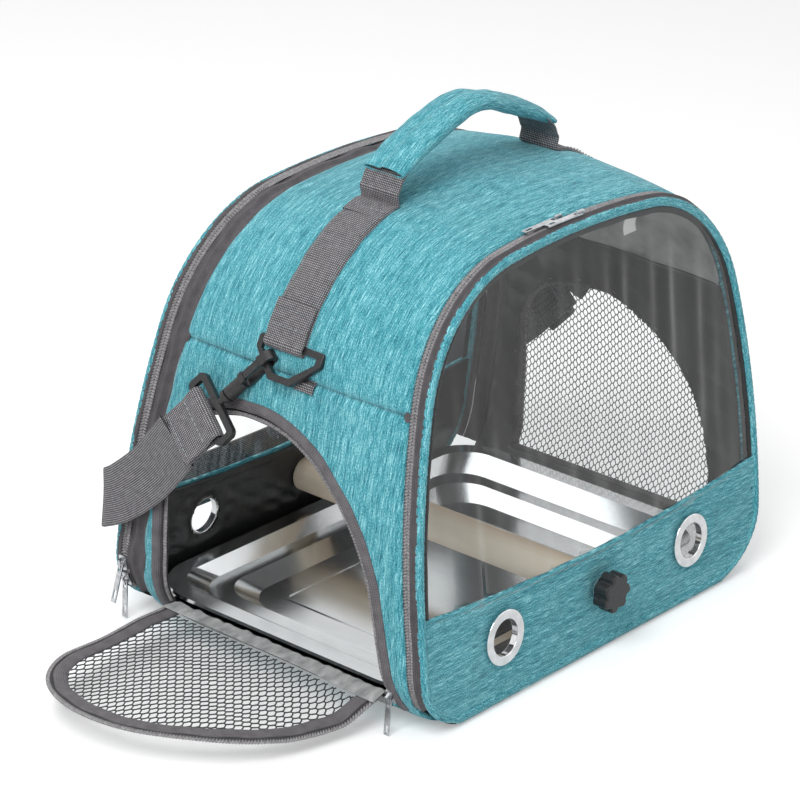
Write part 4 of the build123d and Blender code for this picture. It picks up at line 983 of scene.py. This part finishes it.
# ---------------- Strap rings
# Moulded D rings held by the folded webbing, with the strap's snap hooks on them.  A tab of the same
# ribbed tape is sewn beside each.
tab_width, tab_thickness, tab_y = 0.0158, 0.0017, -0.02
for side, label in sides:
    finish_nodes(moulded_black, *(f"{label}_{kind}" for kind in ("ring", "hook", "gate", "eye")))
    (low_x, _, low_z), (high_x, _, high_z) = (
        on_wall(side, tab_y, z, lift) for z, lift in ((0.206, 0.0012), (0.2105, 0.0016))
    )
    sewn_end = [(side * low_x + 0.0004, low_z), (side * high_x + 0.0008, high_z)]
    knots = sewn_end + [(0.1706, 0.2134), (0.174, 0.214)]
    node = f"{label}_ring_tab"
    upright_webbing(f"{node}_tape", side, knots, 24, node, width=tab_width, thickness=tab_thickness, y=tab_y)

# ---------------- Shoulder strap
# One long piece of the same webbing, wider, with a moulded eye and a snap hook on each folded end.
# It hangs from the rings round the back of the carrier, and shortens through the adjuster.
strap_width, strap_thickness = 0.0395, 0.0023
half_route = [  # x, y, z and the way that its face looks, in degrees from +X
    (-0.20274, 0.06233, 0.15596, 180.0), (-0.1945, 0.094, 0.121, 180.0), (-0.1915, 0.122, 0.097, 172.0),
    (-0.1895, 0.139, 0.087, 140.0), (-0.177, 0.1465, 0.081, 103.0), (-0.142, 0.151, 0.069, 94.0),
    (-0.095, 0.155, 0.06, 92.0), (-0.04, 0.159, 0.056, 91.0),
]
# on the right it runs straight through the adjuster up to the eye
through_adjuster = [(0.199, 0.094, 0.121, 0), (0.20087, 0.07817, 0.13848, 0), (0.20274, 0.06233, 0.15596, 0)]
other_half = [(-x, y, z, 180.0 - angle) for x, y, z, angle in half_route[:1:-1]]
route = half_route + [(0.0, 0.16, 0.055, 90.0)] + other_half + through_adjuster
angle_unit = 1000  # degrees, so that the angle adds nothing to the length that the line is read by
line, length = smooth_line([(x, y, z, angle / angle_unit) for x, y, z, angle in route], 420)
facing = np.radians(line[:, 3] * angle_unit)
along = unit(np.gradient(line[:, :3], axis=0))
across = unit(np.cross(places(np.cos(facing), np.sin(facing), 0), along))
finish_nodes(moulded_black, "strap_adjuster")


def strap_end(label, side):
    """Adds the strap's end, folded round the far bar of its eye and back, and sewn to the strap.  The
    fold is drawn by distance down the strap and height from its middle plane, and mirrored."""
    mirror = np.array([side, 1, 1])
    eye, way = np.array([-0.192, 0.042, 0.181]), np.array([-0.31598, 0.598, -0.73658])
    bar = np.array([-0.3003, -0.7995, -0.5202])
    inward = np.cross(bar, way)
    half = [(0.0019, 0.0), (0.003, 0.0027), (0.006, 0.0036), (0.0105, 0.003),
            (0.016, 0.0014), (0.025, 0.0013), (0.0345, 0.0013)]
    fold, length = smooth_line([(down, -height) for down, height in half[:0:-1]] + half, 150)
    middle = (eye + fold[:, :1] * way + fold[:, 1:] * inward) * mirror
    loop = ribbon(f"{label}_strap_fold", middle, (bar * mirror)[None], strap_width, 0.0022, length)
    dress(loop, "bag", webbing_grey, "webbing")
    for mark, reach in (("near", 0.015), ("far", 0.031)):
        across = np.linspace(-0.017, 0.017, 40)[:, None]
        place = (eye + reach * way + across * bar - 0.0026 * inward) * mirror
        stitches(f"{label}_strap_{mark}_stitches", place, -inward * mirror, width=0.0008)


strap = ribbon("strap_webbing", line[:, :3], across, strap_width, strap_thickness, length)
strap.data.materials.append(webbing_grey)
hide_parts("shoulder_strap")
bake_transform(strap)
strap_end("left", 1)
strap_end("right", -1)

# ---------------- Studio
# A pale floor and a white surround, a broad soft light from the upper left, a weaker fill from the
# right, a third from above, and a long lens at the height of a table.
studio_floor = add_mesh(
    "studio_floor", [(-4, -4, -0.0006), (4, -4, -0.0006), (4, 4, -0.0006), (-4, 4, -0.0006)], [(0, 1, 2, 3)]
)
floor_white = start_material("floor_white", Base_Color=(0.93, 0.93, 0.93, 1), Roughness=0.9)
surface(floor_white, Specular_IOR_Level=0.0)
rays = shader_node(floor_white, "LightPath").outputs
glow = maths(floor_white, "MULTIPLY", rays["Is Camera Ray"], 0.3)
glow = shader_node(floor_white, "Emission", Color=(1, 1, 1, 1), Strength=glow).outputs[0]
lit = shader_node(floor_white, "AddShader", i0=surface(floor_white).outputs[0], i1=glow).outputs[0]
fill(floor_white, floor_white.node_tree.nodes["Material Output"], Surface=lit)
studio_floor.data.materials.append(floor_white)

world = bpy.data.worlds.new("studio")
bpy.context.scene.world = world
world.use_nodes = True
rays = shader_node(world, "LightPath").outputs
seen = maths(world, "MAXIMUM", rays["Is Camera Ray"], rays["Is Glossy Ray"])
seen = maths(world, "MAXIMUM", seen, rays["Is Transmission Ray"])
strength = shader_node(world, "MapRange", Value=seen, To_Min=0.4, To_Max=1.0).outputs[0]
fill(world, world.node_tree.nodes["Background"], Color=(1, 1, 1, 1), Strength=strength)

target = Vector((0, 0, 0.15))
for label, place, size, watts in (
    ("key", (-1.6, -0.5, 1.9), 1.2, 36),
    ("fill", (1.3, -1.5, 0.9), 1.2, 2),
    ("top", (0.1, 0.6, 2.0), 1.4, 10),
):
    lamp = bpy.data.lights.new(label, "AREA")
    lamp.size, lamp.energy = size, watts
    holder = bpy.data.objects.new(label, lamp)
    holder.location = place
    holder.rotation_euler = (target - Vector(place)).to_track_quat("-Z", "Y").to_euler()
    bpy.context.scene.collection.objects.link(holder)

camera = bpy.data.cameras.new("camera")
camera.lens, camera.sensor_width = 157.675, 36.0
viewer = bpy.data.objects.new("camera", camera)
viewer.matrix_world = Matrix((
    (0.643328, 0.278047, -0.713315, -1.711519), (-0.76468, 0.278784, -0.580985, -1.350008),
    (0.03732, 0.919222, 0.391967, 1.069309), (0, 0, 0, 1),
))
camera.clip_start, camera.clip_end = 0.1, 20
bpy.context.scene.collection.objects.link(viewer)
bpy.context.scene.camera = viewer
bpy.context.scene.view_settings.view_transform = "Standard"
